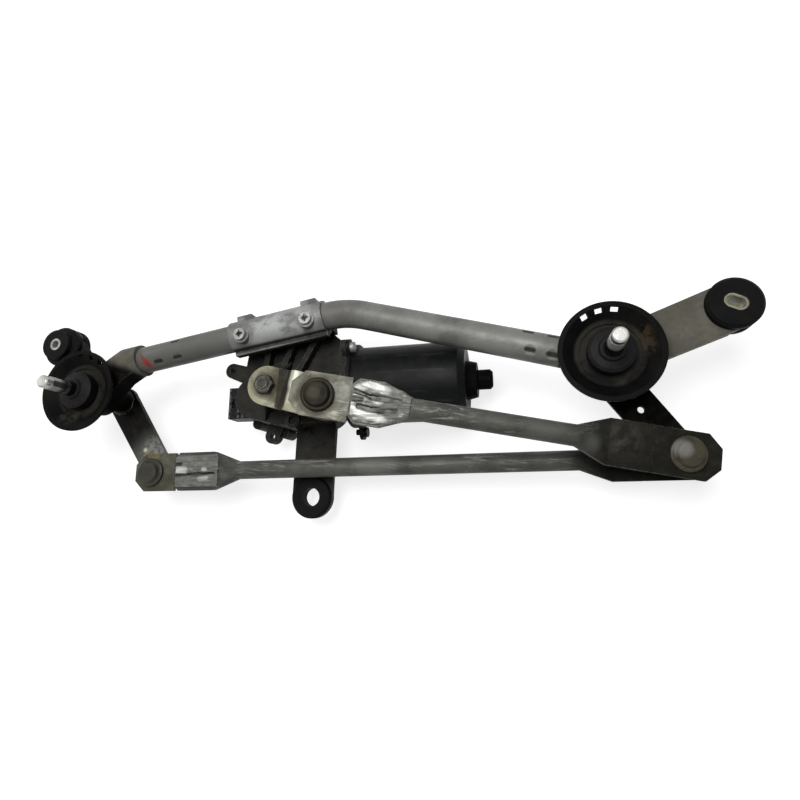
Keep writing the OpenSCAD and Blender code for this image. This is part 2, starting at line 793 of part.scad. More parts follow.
module gear_cover_screws() {
    head_h = 2;
    head_r = 3.6;
    color(bright_steel) at_cover_screws() {
        translate([0, 0, housing_bottom - cover_t - head_h]) cylinder(r = head_r, h = head_h);
        translate([0, 0, housing_bottom - cover_t])
            cylinder(r = cover_screw_r, h = cover_screw_depth + cover_t);
    }
}

// Saddle: half pipe over the tube, with a ledge and two tabs on the cradle and a flat seat under each screw
module tube_saddle() {
    seat_r = 6.5;
    tab_h = 5;
    color(steel_grey) difference() {
        union() {
            on_left_straight(saddle_near + saddle_length)
                rotate([90, 0, 90]) linear_extrude(saddle_length) {
                    intersection() {
                        circle(r = tube_r + saddle_t);
                        translate([-tube_d, 0]) square([2 * tube_d, tube_d]);
                    }
                    translate([-tube_r - ledge_w, 0]) square([tube_r + ledge_w, saddle_t]);
                }
            at_saddle_screws() translate([0, 0, tube_r / 2])
                cylinder(r = seat_r, h = saddle_top - tube_z - tube_r / 2);
            for (at = saddle_screw_at) on_left_straight(at) translate([-tab_w / 2, 0, 0])
                cube([tab_w, tube_r + ledge_w, tab_h]);
        }
        on_left_straight(saddle_near + saddle_length + cut)
            bar_x(tube_r + seat_gap, saddle_length + 2 * cut);
        at_saddle_screws() cylinder(r = screw_r + seat_gap, h = tube_d);
    }
}

// Saddle screws: pan heads with a cross recess
module saddle_screws() {
    recess = 1.6;
    slot_length = 6;
    slot_w = 1.2;
    seat = saddle_top - tube_z;
    color(bright_steel) at_saddle_screws() difference() {
        union() {
            translate([0, 0, seat]) cylinder(r = screw_head_r, h = screw_head_h);
            translate([0, 0, -screw_reach]) cylinder(r = screw_r, h = screw_reach + seat);
        }
        for (turn = [0, 90]) rotate([0, 0, turn])
            translate([-slot_length / 2, -slot_w / 2, seat + recess]) cube([slot_length, slot_w, screw_head_h]);
    }
}

// Connector socket on the left of the gear case: a box open to -X, with ridges and a latch window
module connector_socket() {
    half = [0, connector_size.y / 2, connector_size.z / 2];
    inner = connector_size - [0, 2 * connector_wall, 2 * connector_wall];
    window = [4, 8, connector_size.z];
    ridge = [10, 2, 1.2];
    ridge_pitch = 9;
    color(black_plastic) difference() {
        union() {
            translate(connector_at - half) cube(connector_size);
            for (row = [-1:1])
                translate(connector_at + [1, row * ridge_pitch - ridge.y / 2, half.z - cut])
                    cube(ridge + [0, 0, cut]);
        }
        translate(connector_at - [cut, inner.y / 2, inner.z / 2])
            cube([connector_depth + cut, inner.y, inner.z]);
        translate(connector_at + [3, -window.y / 2, 0]) cube(window);
        translate([0, 0, connector_at.z - connector_size.z]) linear_extrude(2 * connector_size.z)
            gearbox2d(housing_wall + seat_gap);
    }
}

module connector_terminals() {
    pitch = 4.4;
    blade = [4.5, 2.2, 0.8];
    color(copper) for (row = [-2:2])
        translate(connector_at + [connector_depth - blade.x, row * pitch - blade.y / 2, -blade.z / 2])
            cube(blade);
}

// Motor yoke: drawn steel drum with a flange, stepped end and bearing cap
module motor_yoke() {
    drum_end = yoke_length;
    step_end = drum_end + bearing_step_length;
    cap_end = step_end + bearing_cap_length;
    round = 5;
    wall = yoke_wall;
    color(black_paint) difference() {
        union() {
            translate([flange_x, motor_y, motor_z]) rotate([0, 90, 0]) rotate_extrude() polygon([
                [yoke_r - wall, 0], [yoke_flange_r, 0], [yoke_flange_r, yoke_flange_t],
                [yoke_r, yoke_flange_t], [yoke_r, drum_end - round], [yoke_r - round, drum_end],
                [bearing_step_r, drum_end], [bearing_step_r - 2, step_end],
                [bearing_cap_r, step_end], [bearing_cap_r, cap_end - 2], [bearing_cap_r - 2, cap_end],
                [0, cap_end], [0, cap_end - wall], [armature_shaft_r + run_gap, cap_end - wall],
                [armature_shaft_r + run_gap, step_end - wall], [bearing_step_r - 2 - wall, step_end - wall],
                [bearing_step_r - wall, drum_end - wall], [yoke_r - wall - 2, drum_end - wall],
                [yoke_r - wall, drum_end - round]]);
            yoke_ears(yoke_flange_t);
        }
        at_yoke_screws() translate([-cut, 0, 0]) bar_x(yoke_screw_r + seat_gap, yoke_flange_t + 2 * cut);
    }
}

module yoke_screws() {
    head_h = 3;
    head_r = 4.2;
    color(bright_steel) at_yoke_screws() {
        translate([yoke_flange_t, 0, 0]) bar_x(head_r, head_h);
        translate([-yoke_screw_depth, 0, 0]) bar_x(yoke_screw_r, yoke_screw_depth + yoke_flange_t);
    }
}

// Two arc magnets against the drum's wall
module motor_magnets() {
    outer = yoke_r - yoke_wall - seat_gap;
    inner = armature_r + 1;
    arc = 136;
    color(magnet_grey) translate([core_x - 1, motor_y, motor_z]) rotate([0, 90, 0])
        for (turn = [-arc / 2, 180 - arc / 2]) rotate([0, 0, turn]) rotate_extrude(angle = arc)
            translate([inner, 0]) square([outer - inner, core_length + 2]);
}

// Brush card: ring with two brush boxes round the commutator
module brush_card() {
    card_t = 3;
    inner = commutator_r + 3;
    brush = [9, 14, 6];
    color(white_plastic) translate([commutator_x - card_t, motor_y, motor_z]) {
        tube_x(yoke_r - yoke_wall - seat_gap, inner, card_t);
        for (side = [0, 180]) rotate([side, 0, 0])
            translate([card_t - cut, commutator_r + 0.6, -brush.z / 2]) cube(brush + [cut, 0, 0]);
    }
}

// Plain bearing of the armature in the housing's neck
module armature_bush() {
    bush_t = 12;
    color(copper) translate([flange_x - bush_t - 1, motor_y, motor_z])
        tube_x(worm_bore_r - seat_gap, armature_shaft_r + run_gap, bush_t);
}

// Armature: shaft with the worm, commutator and core
module armature() {
    start = worm_bore_x + 1;
    reach = flange_x + yoke_length + bearing_step_length + bearing_cap_length - yoke_wall - 1;
    color(core_grey) translate([0, motor_y, motor_z]) {
        translate([start, 0, 0]) bar_x(armature_shaft_r, reach - start);
        translate([counter.x - worm_length / 2, 0, 0]) bar_x(worm_r, worm_length);
        translate([commutator_x, 0, 0]) bar_x(commutator_r, commutator_length);
        translate([core_x, 0, 0]) bar_x(armature_r, core_length);
    }
}

// Toothed outline with straight-flanked teeth, one tooth pointing at heading
module gear2d(pitch_r, teeth, heading) {
    tip = pitch_r + 0.7;
    root = pitch_r - 1.2;
    step = 360 / teeth;
    polygon([for (tooth = [0:teeth - 1]) each [
        let(a = heading + tooth * step - 0.3 * step) root * [cos(a), sin(a)],
        let(a = heading + tooth * step - 0.12 * step) tip * [cos(a), sin(a)],
        let(a = heading + tooth * step + 0.12 * step) tip * [cos(a), sin(a)],
        let(a = heading + tooth * step + 0.3 * step) root * [cos(a), sin(a)]]]);
}

module output_gear() {
    color(white_plastic) translate([output.x, output.y, output_gear_z]) linear_extrude(output_gear_t)
        difference() {
            gear2d(output_gear_r, output_teeth, gear_heading);
            circle(r = output_shaft_r + seat_gap);
        }
}

// Counter gear: worm wheel below, pinion above, turning on the casting's pin
module counter_gear() {
    gap_heading = gear_heading + 180 + 180 / pinion_teeth;
    pinion_top = output_gear_z + output_gear_t;
    color(white_plastic) translate([counter.x, counter.y, 0]) difference() {
        union() {
            translate([0, 0, worm_wheel_z]) linear_extrude(worm_wheel_t)
                gear2d(worm_wheel_r - 0.5, wheel_teeth, 0);
            translate([0, 0, worm_wheel_z]) linear_extrude(pinion_top - worm_wheel_z)
                gear2d(pinion_r, pinion_teeth, gap_heading);
        }
        translate([0, 0, worm_wheel_z - cut])
            cylinder(r = counter_pin_r + run_gap, h = pinion_top - worm_wheel_z + 2 * cut);
    }
}

module output_bush() {
    color(copper) translate([output.x, output.y, cavity_top]) linear_extrude(output_boss_top - cavity_top)
        difference() {
            circle(r = output_bush_r);
            circle(r = output_shaft_r + run_gap);
        }
}

// Output shaft: shoulder under the crank's hub, threaded stud above it
module output_shaft() {
    color(bright_steel) translate([output.x, output.y, 0]) {
        translate([0, 0, output_gear_z]) cylinder(r = output_shaft_r, h = hub_z - output_gear_z);
        translate([0, 0, hub_z - cut]) cylinder(r = stud_d / 2, h = stud_top - hub_z);
        translate([0, 0, stud_top - cut]) cylinder(r1 = stud_d / 2, r2 = stud_d / 2 - 1, h = 1);
    }
}

// Crank: one plate, stepped up from the hub to the outer arm
module crank_arm() {
    ramp_start = crank_w / 2 + 1;
    ramp_end = ramp_start + crank_joggle + 1;
    shift = crank_t * tan(21);
    past = crank_w;
    color(zinc_yellow) translate([output.x, output.y, 0]) rotate([0, 0, crank_angle]) difference() {
        intersection() {
            translate([0, 0, hub_z - cut]) linear_extrude(crank_top - hub_z + 2 * cut)
                bar2d([0, 0], crank_w / 2, [crank_radius, 0], crank_w / 2);
            translate([0, past, 0]) rotate([90, 0, 0]) linear_extrude(2 * past) polygon([
                [-past, hub_z], [ramp_start, hub_z], [ramp_end, crank_z],
                [crank_radius + past, crank_z], [crank_radius + past, crank_top],
                [ramp_end - shift, crank_top], [ramp_start - shift, hub_top], [-past, hub_top]]);
        }
        translate([0, 0, hub_z - cut]) cylinder(r = stud_d / 2 + seat_gap, h = crank_t + 2 * cut);
        translate([crank_radius, 0, crank_z - cut])
            cylinder(r = rivet_r + seat_gap, h = crank_t + 2 * cut);
    }
}

// Nut with a washer face and chamfered corners
module crank_nut() {
    corner_r = nut_flats / 2 / cos(30);
    face_t = 0.6;
    color(zinc_yellow) translate([output.x, output.y, hub_top]) difference() {
        intersection() {
            union() {
                cylinder(r = nut_flats / 2, h = face_t);
                translate([0, 0, face_t]) cylinder(r = corner_r, h = nut_h - face_t, $fn = 6);
            }
            cylinder(r1 = corner_r + nut_h * 1.7 - 1.4, r2 = corner_r - 1.4, h = nut_h);
        }
        translate([0, 0, -cut]) cylinder(r = stud_d / 2 + seat_gap, h = nut_h + 2 * cut);
    }
}

// Ball stud: riveted shank, collar, neck and ball. rise is negative for a stud that points down
module ball_stud(plate_z, plate_t, rise, collar_h) {
    up = rise > 0 ? 1 : -1;
    face = rise > 0 ? plate_z + plate_t : plate_z;
    translate([0, 0, plate_z]) cylinder(r = rivet_r, h = plate_t);
    translate([0, 0, face]) mirror([0, 0, up > 0 ? 0 : 1]) {
        cylinder(r = collar_r, h = collar_h);
        cylinder(r = neck_r, h = abs(rise));
        translate([0, 0, abs(rise)]) sphere(d = ball_d);
    }
}

module crank_ball_stud() {
    color(bright_steel) translate([crank_joint.x, crank_joint.y, 0])
        ball_stud(crank_z, crank_t, crank_ball_rise, 2);
}

// Places its children at one ball with +X pointing at the other
module along_rod(from, from_z, to, to_z) {
    flat = to - from;
    pitch = -atan2(to_z - from_z, norm(flat));
    translate([from.x, from.y, from_z])
        rotate([0, pitch, atan2(flat.y, flat.x)]) children();
}

function rod_span(from, from_z, to, to_z) = norm([to.x - from.x, to.y - from.y, to_z - from_z]);

// Joint plate about its ball: chamfered outline, bored for the socket, with a tongue for the rod
module joint_plate(reach) {
    half = rod_end_w / 2;
    tongue = plate_end + tongue_length;
    translate([0, 0, plate_z]) linear_extrude(plate_t) difference() {
        polygon([[-reach + rod_end_chamfer, -half], [plate_end, -half], [plate_end, -tongue_w / 2],
            [tongue, -tongue_w / 2], [tongue, tongue_w / 2], [plate_end, tongue_w / 2],
            [plate_end, half], [-reach + rod_end_chamfer, half], [-reach, half - rod_end_chamfer],
            [-reach, rod_end_chamfer - half]]);
        circle(r = insert_r + seat_gap);
    }
}

// Flattened tube end round a plate's tongue, its front corners cut back by one chamfer
module flat_end(flat, chamfer) {
    half = rod_end_w / 2;
    front = plate_end + seat_gap;
    difference() {
        translate([0, 0, -rod_end_t / 2]) linear_extrude(flat_t) polygon([
            [front, chamfer - half], [front + chamfer, -half], [flat, -half],
            [flat, half], [front + chamfer, half], [front, half - chamfer]]);
        translate([front - cut, -tongue_w / 2 - seat_gap, plate_z - seat_gap])
            cube([tongue_length + cut + seat_gap, tongue_w + 2 * seat_gap, plate_t + 2 * seat_gap]);
    }
}

// Squeeze between a flattened end and the round tube
module squeeze(flat, lift) {
    sliver = 0.5;
    hull() {
        translate([flat - sliver, -rod_end_w / 2, -rod_end_t / 2]) cube([sliver, rod_end_w, flat_t]);
        translate([flat + rod_squeeze, 0, lift]) rotate([0, 90, 0])
            cylinder(d = rod_d, h = sliver, $fn = 32);
    }
}

// Rod of one tube with two flattened ends. lift raises the tube over the middle of the joints, and
// flip turns the far end's plate over
module tube_rod(span, flat_a, flat_b, lift, flip) {
    start = flat_a + rod_squeeze;
    length = span - flat_a - flat_b - 2 * rod_squeeze;
    plug = 5;
    drain_at = 12;
    drain_r = 2;
    flat_end(flat_a, near_chamfer);
    squeeze(flat_a, lift);
    translate([span, 0, 0]) mirror([1, 0, 0]) mirror([0, 0, flip]) {
        flat_end(flat_b, far_chamfer);
        squeeze(flat_b, flip > 0 ? -lift : lift);
    }
    translate([start, 0, lift]) difference() {
        bar_x(rod_d / 2, length);
        translate([plug, 0, 0]) bar_x(rod_d / 2 - rod_wall, length - 2 * plug);
        translate([drain_at, 0, -rod_d]) cylinder(r = drain_r, h = rod_d);
    }
}

// Places its children at the drive rod's left ball, or at its right ball looking back along the rod
module on_drive_rod(right_end) {
    along_rod(crank_joint, crank_ball_z, right_joint, right_upper_ball_z)
        translate([right_end ? drive_span : 0, 0, 0]) mirror([right_end ? 1 : 0, 0, 0]) children();
}

// Places its children at the link rod's left ball, or at its right ball looking back and hanging down
module on_link_rod(right_end) {
    along_rod(left_joint, left_ball_z, right_joint, right_lower_ball_z)
        translate([right_end ? link_span : 0, 0, 0]) mirror([right_end ? 1 : 0, 0, 0])
            mirror([0, 0, right_end ? 1 : 0]) children();
}

module drive_rod() {
    color(steel_grey) on_drive_rod(false) tube_rod(drive_span, drive_flats[0], drive_flats[1], drive_lift, 0);
}

module link_rod() {
    color(steel_grey) on_link_rod(false) tube_rod(link_span, link_flats[0], link_flats[1], 0, 1);
}

module drive_rod_left_plate() {
    color(zinc_yellow) on_drive_rod(false) joint_plate(drive_reaches[0]);
}

module drive_rod_right_plate() {
    color(steel_grey) on_drive_rod(true) joint_plate(drive_reaches[1]);
}

module link_rod_left_plate() {
    color(zinc_yellow) on_link_rod(false) joint_plate(link_reaches[0]);
}

module link_rod_right_plate() {
    color(steel_grey) on_link_rod(true) joint_plate(link_reaches[1]);
}

// Socket: plastic seat in the rod end with a domed cap, open to the neck below
module ball_socket() {
    cap_r = socket_cap_d / 2;
    half = rod_end_t / 2;
    drop = 6;
    ball_r = ball_d / 2 + run_gap;
    mouth_r = sqrt(ball_r * ball_r - 16);
    difference() {
        rotate_extrude() polygon([
            [0, -drop], [insert_r - 1, -drop], [insert_r, -drop + 1.5], [insert_r, half + seat_gap],
            [cap_r, half + seat_gap], [cap_r, half + 2.2], [cap_r - 1, half + 2.8],
            [cap_r - 2.5, half + 2.8], [cap_r - 4, ball_r + 1.4], [3, ball_r + 2], [0, ball_r + 2]]);
        sphere(r = ball_r);
        translate([0, 0, -drop - cut]) cylinder(r1 = mouth_r + 2.6, r2 = mouth_r, h = drop + cut - 4);
    }
}

module drive_rod_left_socket() {
    color(socket_brown) on_drive_rod(false) ball_socket();
}

module drive_rod_right_socket() {
    color(socket_brown) on_drive_rod(true) ball_socket();
}

module link_rod_left_socket() {
    color(socket_brown) on_link_rod(false) ball_socket();
}

module link_rod_right_socket() {
    color(socket_brown) on_link_rod(true) ball_socket();
}

// Ball of the drive rod's right joint, with a short neck that stops above the lever's collar
module drive_rod_right_ball() {
    neck_bottom = right_lever_top + stub_h + free_gap;
    color(bright_steel) translate([right_joint.x, right_joint.y, 0]) {
        translate([0, 0, right_upper_ball_z]) sphere(d = ball_d - 2 * run_gap);
        translate([0, 0, neck_bottom]) cylinder(r = neck_r, h = right_upper_ball_z - neck_bottom);
    }
}

// Lever plate between a pivot and its ball joint
module lever_plate(pivot, joint, lever_z, hole_at) {
    translate([0, 0, lever_z]) linear_extrude(lever_t) difference() {
        bar2d(pivot, lever_root_d / 2, joint, lever_end_d / 2);
        translate(pivot) circle(r = shaft_r + seat_gap);
        translate(joint) circle(r = rivet_r + seat_gap);
        if (hole_at > 0) translate(pivot + hole_at * (joint - pivot)) circle(d = lever_hole_d);
    }
}

module right_lever() {
    color(black_paint) lever_plate(right_pivot, right_joint, right_lever_z, 0.5);
}

module left_lever() {
    color(black_paint) lever_plate(left_pivot, left_joint, left_lever_z, 0);
}

// Right lever's studs: ball below for the link rod, collar above for the drive rod
module right_lever_studs() {
    color(bright_steel) translate([right_joint.x, right_joint.y, 0]) {
        ball_stud(right_lever_z, lever_t, -ball_rise, 1.5);
        translate([0, 0, right_lever_top]) cylinder(r = collar_r, h = stub_h);
    }
}

module left_lever_stud() {
    color(bright_steel) translate([left_joint.x, left_joint.y, 0])
        ball_stud(left_lever_z, lever_t, ball_rise, 1.5);
}

// Pivot shaft: riveted head under the lever, journal, taper and tip for the wiper arm
module pivot_shaft(lever_z) {
    head_h = 1.5;
    chamfer = 1;
    tip_r = shaft_tip_d / 2;
    rotate_extrude() polygon([
        [0, lever_z - head_h], [shaft_r + 2, lever_z - head_h], [shaft_r + 2, lever_z],
        [shaft_r, lever_z], [shaft_r, shaft_shoulder_z],
        [tip_r, shaft_shoulder_z + shaft_shoulder_taper],
        [tip_r, shaft_tip_top - chamfer], [tip_r - chamfer, shaft_tip_top], [0, shaft_tip_top]]);
}

module right_pivot_shaft() {
    color(bright_steel) translate(right_pivot) pivot_shaft(right_lever_z);
}

module left_pivot_shaft() {
    color(bright_steel) translate(left_pivot) pivot_shaft(left_lever_z);
}

// Rubber cap that turns with the shaft and shrouds the barrel's mouth
module seal_cap() {
    bore = cup_hub_r + free_gap;
    roof = barrel_top + free_gap;
    skirt = 6;
    rotate_extrude() polygon([
        [shaft_r + seat_gap, roof], [bore, roof], [bore, roof - skirt], [bore + seal_wall, roof - skirt],
        [bore + seal_wall, roof + 1], [bore, roof + 2.5], [shaft_r + 3, roof + 3.5],
        [shaft_r + 2, roof + 5.5], [shaft_r + seat_gap, roof + 5.5]]);
}

module right_seal_cap() {
    color(black_rubber) translate(right_pivot) seal_cap();
}

module left_seal_cap() {
    color(black_rubber) translate(left_pivot) seal_cap();
}

// Thrust washer between lever and barrel
module thrust_washer(at_z) {
    translate([0, 0, at_z]) linear_extrude(washer_t) difference() {
        circle(r = shaft_r + 6);
        circle(r = shaft_r + seat_gap);
    }
}

module right_thrust_washer() {
    color(bright_steel) translate(right_pivot) thrust_washer(right_lever_top);
}

module left_thrust_washer() {
    color(bright_steel) translate(left_pivot) thrust_washer(left_lever_top);
}

frame_tube();
left_pivot_housing();
right_pivot_housing();
left_drain_cup();
right_drain_cup();
left_pivot_bushes();
right_pivot_bushes();
left_mount_grommet();
left_mount_sleeve();
right_mount_grommet();
right_mount_sleeve();
lower_mount_grommet();
gear_housing();
lower_mount_arm();
gear_cover();
gear_cover_screws();
tube_saddle();
saddle_screws();
connector_socket();
connector_terminals();
motor_yoke();
yoke_screws();
motor_magnets();
brush_card();
armature_bush();
output_bush();
crank_arm();
crank_nut();
crank_ball_stud();
output_shaft();
output_gear();
counter_gear();
armature();
drive_rod();
drive_rod_left_plate();
drive_rod_right_plate();
drive_rod_left_socket();
drive_rod_right_socket();
drive_rod_right_ball();
right_pivot_shaft();
right_lever();
right_lever_studs();
right_seal_cap();
right_thrust_washer();
left_pivot_shaft();
left_lever();
left_lever_stud();
left_seal_cap();
left_thrust_washer();
link_rod();
link_rod_left_plate();
link_rod_right_plate();
link_rod_left_socket();
link_rod_right_socket();
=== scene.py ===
import json
import math

import bpy
from mathutils import Matrix, Vector

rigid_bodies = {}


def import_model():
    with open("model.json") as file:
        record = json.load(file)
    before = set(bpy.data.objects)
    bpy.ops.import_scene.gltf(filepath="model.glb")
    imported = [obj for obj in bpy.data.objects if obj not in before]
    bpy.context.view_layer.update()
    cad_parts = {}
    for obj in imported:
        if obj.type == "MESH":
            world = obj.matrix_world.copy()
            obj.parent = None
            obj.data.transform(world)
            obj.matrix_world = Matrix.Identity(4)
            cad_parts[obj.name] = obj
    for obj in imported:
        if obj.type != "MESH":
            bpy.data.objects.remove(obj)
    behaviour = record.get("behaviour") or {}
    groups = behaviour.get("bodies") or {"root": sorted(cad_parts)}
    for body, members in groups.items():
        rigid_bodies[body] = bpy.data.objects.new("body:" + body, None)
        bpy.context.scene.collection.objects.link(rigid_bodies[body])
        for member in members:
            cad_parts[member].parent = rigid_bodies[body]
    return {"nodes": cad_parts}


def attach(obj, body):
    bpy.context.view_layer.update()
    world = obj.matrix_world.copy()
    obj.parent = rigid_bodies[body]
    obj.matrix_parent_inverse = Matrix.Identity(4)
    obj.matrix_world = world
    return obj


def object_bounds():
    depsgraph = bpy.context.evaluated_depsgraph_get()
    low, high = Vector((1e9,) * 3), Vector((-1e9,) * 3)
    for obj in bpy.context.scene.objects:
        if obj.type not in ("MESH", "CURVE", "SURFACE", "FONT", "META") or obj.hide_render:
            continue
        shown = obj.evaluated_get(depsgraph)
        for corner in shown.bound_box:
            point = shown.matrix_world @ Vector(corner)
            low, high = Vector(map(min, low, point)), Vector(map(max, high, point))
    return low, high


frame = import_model()
cad_low, cad_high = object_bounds()
nodes = frame["nodes"]
scene = bpy.context.scene
scene.view_settings.view_transform = "Standard"
MM = 0.001


def mm(*values):
    return Vector(values) * MM


# Node helpers

def feed(tree, value, socket):
    if isinstance(value, bpy.types.NodeSocket):
        tree.links.new(value, socket)
    else:
        socket.default_value = value


def math_node(tree, operation, first, second):
    step = tree.nodes.new("ShaderNodeMath")
    step.operation = operation
    feed(tree, first, step.inputs[0])
    feed(tree, second, step.inputs[1])
    return step.outputs["Value"]


def vector_node(tree, operation, first, second=None, output="Vector"):
    step = tree.nodes.new("ShaderNodeVectorMath")
    step.operation = operation
    tree.links.new(first, step.inputs[0])
    if second is not None:
        tree.links.new(second, step.inputs["Scale" if operation == "SCALE" else 1])
    return step.outputs[output]


def noise_node(tree, place, scale, detail, roughness=0.5, distortion=0.0):
    noise = tree.nodes.new("ShaderNodeTexNoise")
    tree.links.new(place, noise.inputs["Vector"])
    for label, value in (("Scale", scale), ("Detail", detail), ("Roughness", roughness),
                         ("Distortion", distortion)):
        feed(tree, value, noise.inputs[label])
    return noise.outputs["Fac"]


def smooth_range(tree, value, low, high, to_low=0.0, to_high=1.0):
    step = tree.nodes.new("ShaderNodeMapRange")
    step.interpolation_type = "SMOOTHSTEP"
    tree.links.new(value, step.inputs["Value"])
    for label, limit in (("From Min", low), ("From Max", high), ("To Min", to_low), ("To Max", to_high)):
        feed(tree, limit, step.inputs[label])
    return step.outputs["Result"]


def group_node(tree, group, **values):
    made = tree.nodes.new("ShaderNodeGroup")
    made.node_tree = group
    for label, value in values.items():
        feed(tree, value, made.inputs[label])
    return made


def blend_colour(tree, mask, under, over):
    mix = tree.nodes.new("ShaderNodeMix")
    mix.data_type = "RGBA"
    tree.links.new(mask, mix.inputs["Factor"])
    for socket, value in ((mix.inputs["A"], under), (mix.inputs["B"], over)):
        feed(tree, value if isinstance(value, bpy.types.NodeSocket) else (*value, 1.0), socket)
    return mix.outputs["Result"]


# Camera, lamps, floor and background

SENSOR_WIDTH, LENS, CLIP = 36.0, 23.4, (0.01, 20.0)
CAMERA_AT = mm(172.03, -8.90, 413.79)
CAMERA_AXES = (Vector((0.97340, 0.0, -0.22910)), Vector((0.04659, 0.97911, 0.19794)),
               Vector((0.22431, -0.20335, 0.95306)))
WHITE = (1.0, 1.0, 1.0, 1.0)
FLOOR_SIZE, FLOOR_MIDDLE, FLOOR_DROP = 6.0, (0.05, 0.08), 0.0005
FLOOR_TONE, FLOOR_ROUGH, FLOOR_SHEEN, FLOOR_GLOW = (0.45, 0.45, 0.45, 1.0), 0.9, 0.1, 0.78
FILL_LIGHT, SEEN_WHITE = 0.10, 1.0


def place_camera():
    data = bpy.data.cameras.new("camera")
    data.sensor_width = SENSOR_WIDTH
    data.lens = LENS
    data.clip_start, data.clip_end = CLIP
    camera = bpy.data.objects.new("camera", data)
    scene.collection.objects.link(camera)
    turn = Matrix(CAMERA_AXES).transposed().to_4x4()
    camera.matrix_world = Matrix.Translation(CAMERA_AT) @ turn
    scene.camera = camera


def soft_lamp(name, at, aim, size, watts):
    data = bpy.data.lights.new(name, "AREA")
    data.shape = "DISK"
    data.size = size
    data.energy = watts
    lamp = bpy.data.objects.new(name, data)
    scene.collection.objects.link(lamp)
    lamp.location = at
    lamp.rotation_euler = (Vector(aim) - Vector(at)).to_track_quat("-Z", "Y").to_euler()


def seen_directly(tree, strength):
    path = tree.nodes.new("ShaderNodeLightPath")
    total = path.outputs["Is Camera Ray"]
    for ray in ("Is Glossy Ray", "Is Transmission Ray"):
        total = math_node(tree, "MAXIMUM", total, path.outputs[ray])
    return math_node(tree, "MULTIPLY", total, strength)


def lay_floor():
    bpy.ops.object.select_all(action="DESELECT")
    bpy.ops.mesh.primitive_plane_add(size=FLOOR_SIZE, location=(*FLOOR_MIDDLE, cad_low.z - FLOOR_DROP))
    floor = bpy.context.object
    floor.name = "floor"
    bpy.ops.object.transform_apply(location=True, rotation=True, scale=True)
    paint = bpy.data.materials.new("floor_white")
    paint.use_nodes = True
    tree = paint.node_tree
    shader = tree.nodes["Principled BSDF"]
    shader.inputs["Base Color"].default_value = FLOOR_TONE
    shader.inputs["Roughness"].default_value = FLOOR_ROUGH
    shader.inputs["Specular IOR Level"].default_value = FLOOR_SHEEN
    glow = tree.nodes.new("ShaderNodeEmission")
    glow.inputs["Color"].default_value = WHITE
    tree.links.new(seen_directly(tree, FLOOR_GLOW), glow.inputs["Strength"])
    both = tree.nodes.new("ShaderNodeAddShader")
    tree.links.new(shader.outputs["BSDF"], both.inputs[0])
    tree.links.new(glow.outputs["Emission"], both.inputs[1])
    tree.links.new(both.outputs["Shader"], tree.nodes["Material Output"].inputs["Surface"])
    floor.data.materials.append(paint)


def light_world():
    world = bpy.data.worlds.new("studio")
    scene.world = world
    world.use_nodes = True
    tree = world.node_tree
    light = tree.nodes["Background"]
    light.inputs["Color"].default_value = WHITE
    light.inputs["Strength"].default_value = FILL_LIGHT
    white = tree.nodes.new("ShaderNodeBackground")
    white.inputs["Color"].default_value = WHITE
    white.inputs["Strength"].default_value = SEEN_WHITE
    choose = tree.nodes.new("ShaderNodeMixShader")
    tree.links.new(seen_directly(tree, 1.0), choose.inputs["Fac"])
    tree.links.new(light.outputs["Background"], choose.inputs[1])
    tree.links.new(white.outputs["Background"], choose.inputs[2])
    tree.links.new(choose.outputs["Shader"], tree.nodes["World Output"].inputs["Surface"])


place_camera()
lay_floor()
light_world()
soft_lamp("key_lamp", at=(0.06, 0.20, 0.78), aim=(0.03, 0.10, 0.04), size=0.45, watts=5.8)
soft_lamp("side_lamp", at=(-0.7, 0.6, 0.7), aim=(0.05, 0.08, 0.03), size=0.9, watts=1.8)


# Effects that several finishes share

STREAK_SOFTNESS = 0.13
EDGE_SAMPLES = 6


def start_group(name, inputs, outputs):
    tree = bpy.data.node_groups.new(name, "ShaderNodeTree")
    for label, kind, value in inputs:
        socket = tree.interface.new_socket(label, in_out="INPUT", socket_type=kind)
        if value is not None:
            socket.default_value = value
    for label, kind in outputs:
        tree.interface.new_socket(label, in_out="OUTPUT", socket_type=kind)
    return tree, tree.nodes.new("NodeGroupInput").outputs, tree.nodes.new("NodeGroupOutput").inputs


def make_patches():
    tree, given, out = start_group("patches", [
        ("Coordinates", "NodeSocketVector", None), ("Scale", "NodeSocketFloat", 40.0),
        ("Low", "NodeSocketFloat", 0.45), ("High", "NodeSocketFloat", 0.6)],
        [("Mask", "NodeSocketFloat")])
    cloud = noise_node(tree, given["Coordinates"], given["Scale"], detail=7.0, roughness=0.62,
                       distortion=0.4)
    tree.links.new(smooth_range(tree, cloud, given["Low"], given["High"]), out["Mask"])
    return tree


def make_streaks():
    tree, given, out = start_group("streaks", [
        ("Coordinates", "NodeSocketVector", None), ("Stretch", "NodeSocketVector", (1.0, 1.0, 1.0)),
        ("Turn", "NodeSocketVector", (0.0, 0.0, 0.0)), ("Low", "NodeSocketFloat", 0.55)],
        [("Mask", "NodeSocketFloat")])
    place = tree.nodes.new("ShaderNodeMapping")
    place.vector_type = "TEXTURE"
    tree.links.new(given["Coordinates"], place.inputs["Vector"])
    tree.links.new(given["Stretch"], place.inputs["Scale"])
    tree.links.new(given["Turn"], place.inputs["Rotation"])
    lines = noise_node(tree, place.outputs["Vector"], scale=1.0, detail=6.0, roughness=0.65,
                       distortion=0.6)
    high = math_node(tree, "ADD", given["Low"], STREAK_SOFTNESS)
    line = smooth_range(tree, lines, given["Low"], high)
    gaps = noise_node(tree, given["Coordinates"], scale=45.0, detail=5.0)
    broken = smooth_range(tree, gaps, low=0.42, high=0.62)
    tree.links.new(math_node(tree, "MULTIPLY", line, broken), out["Mask"])
    return tree


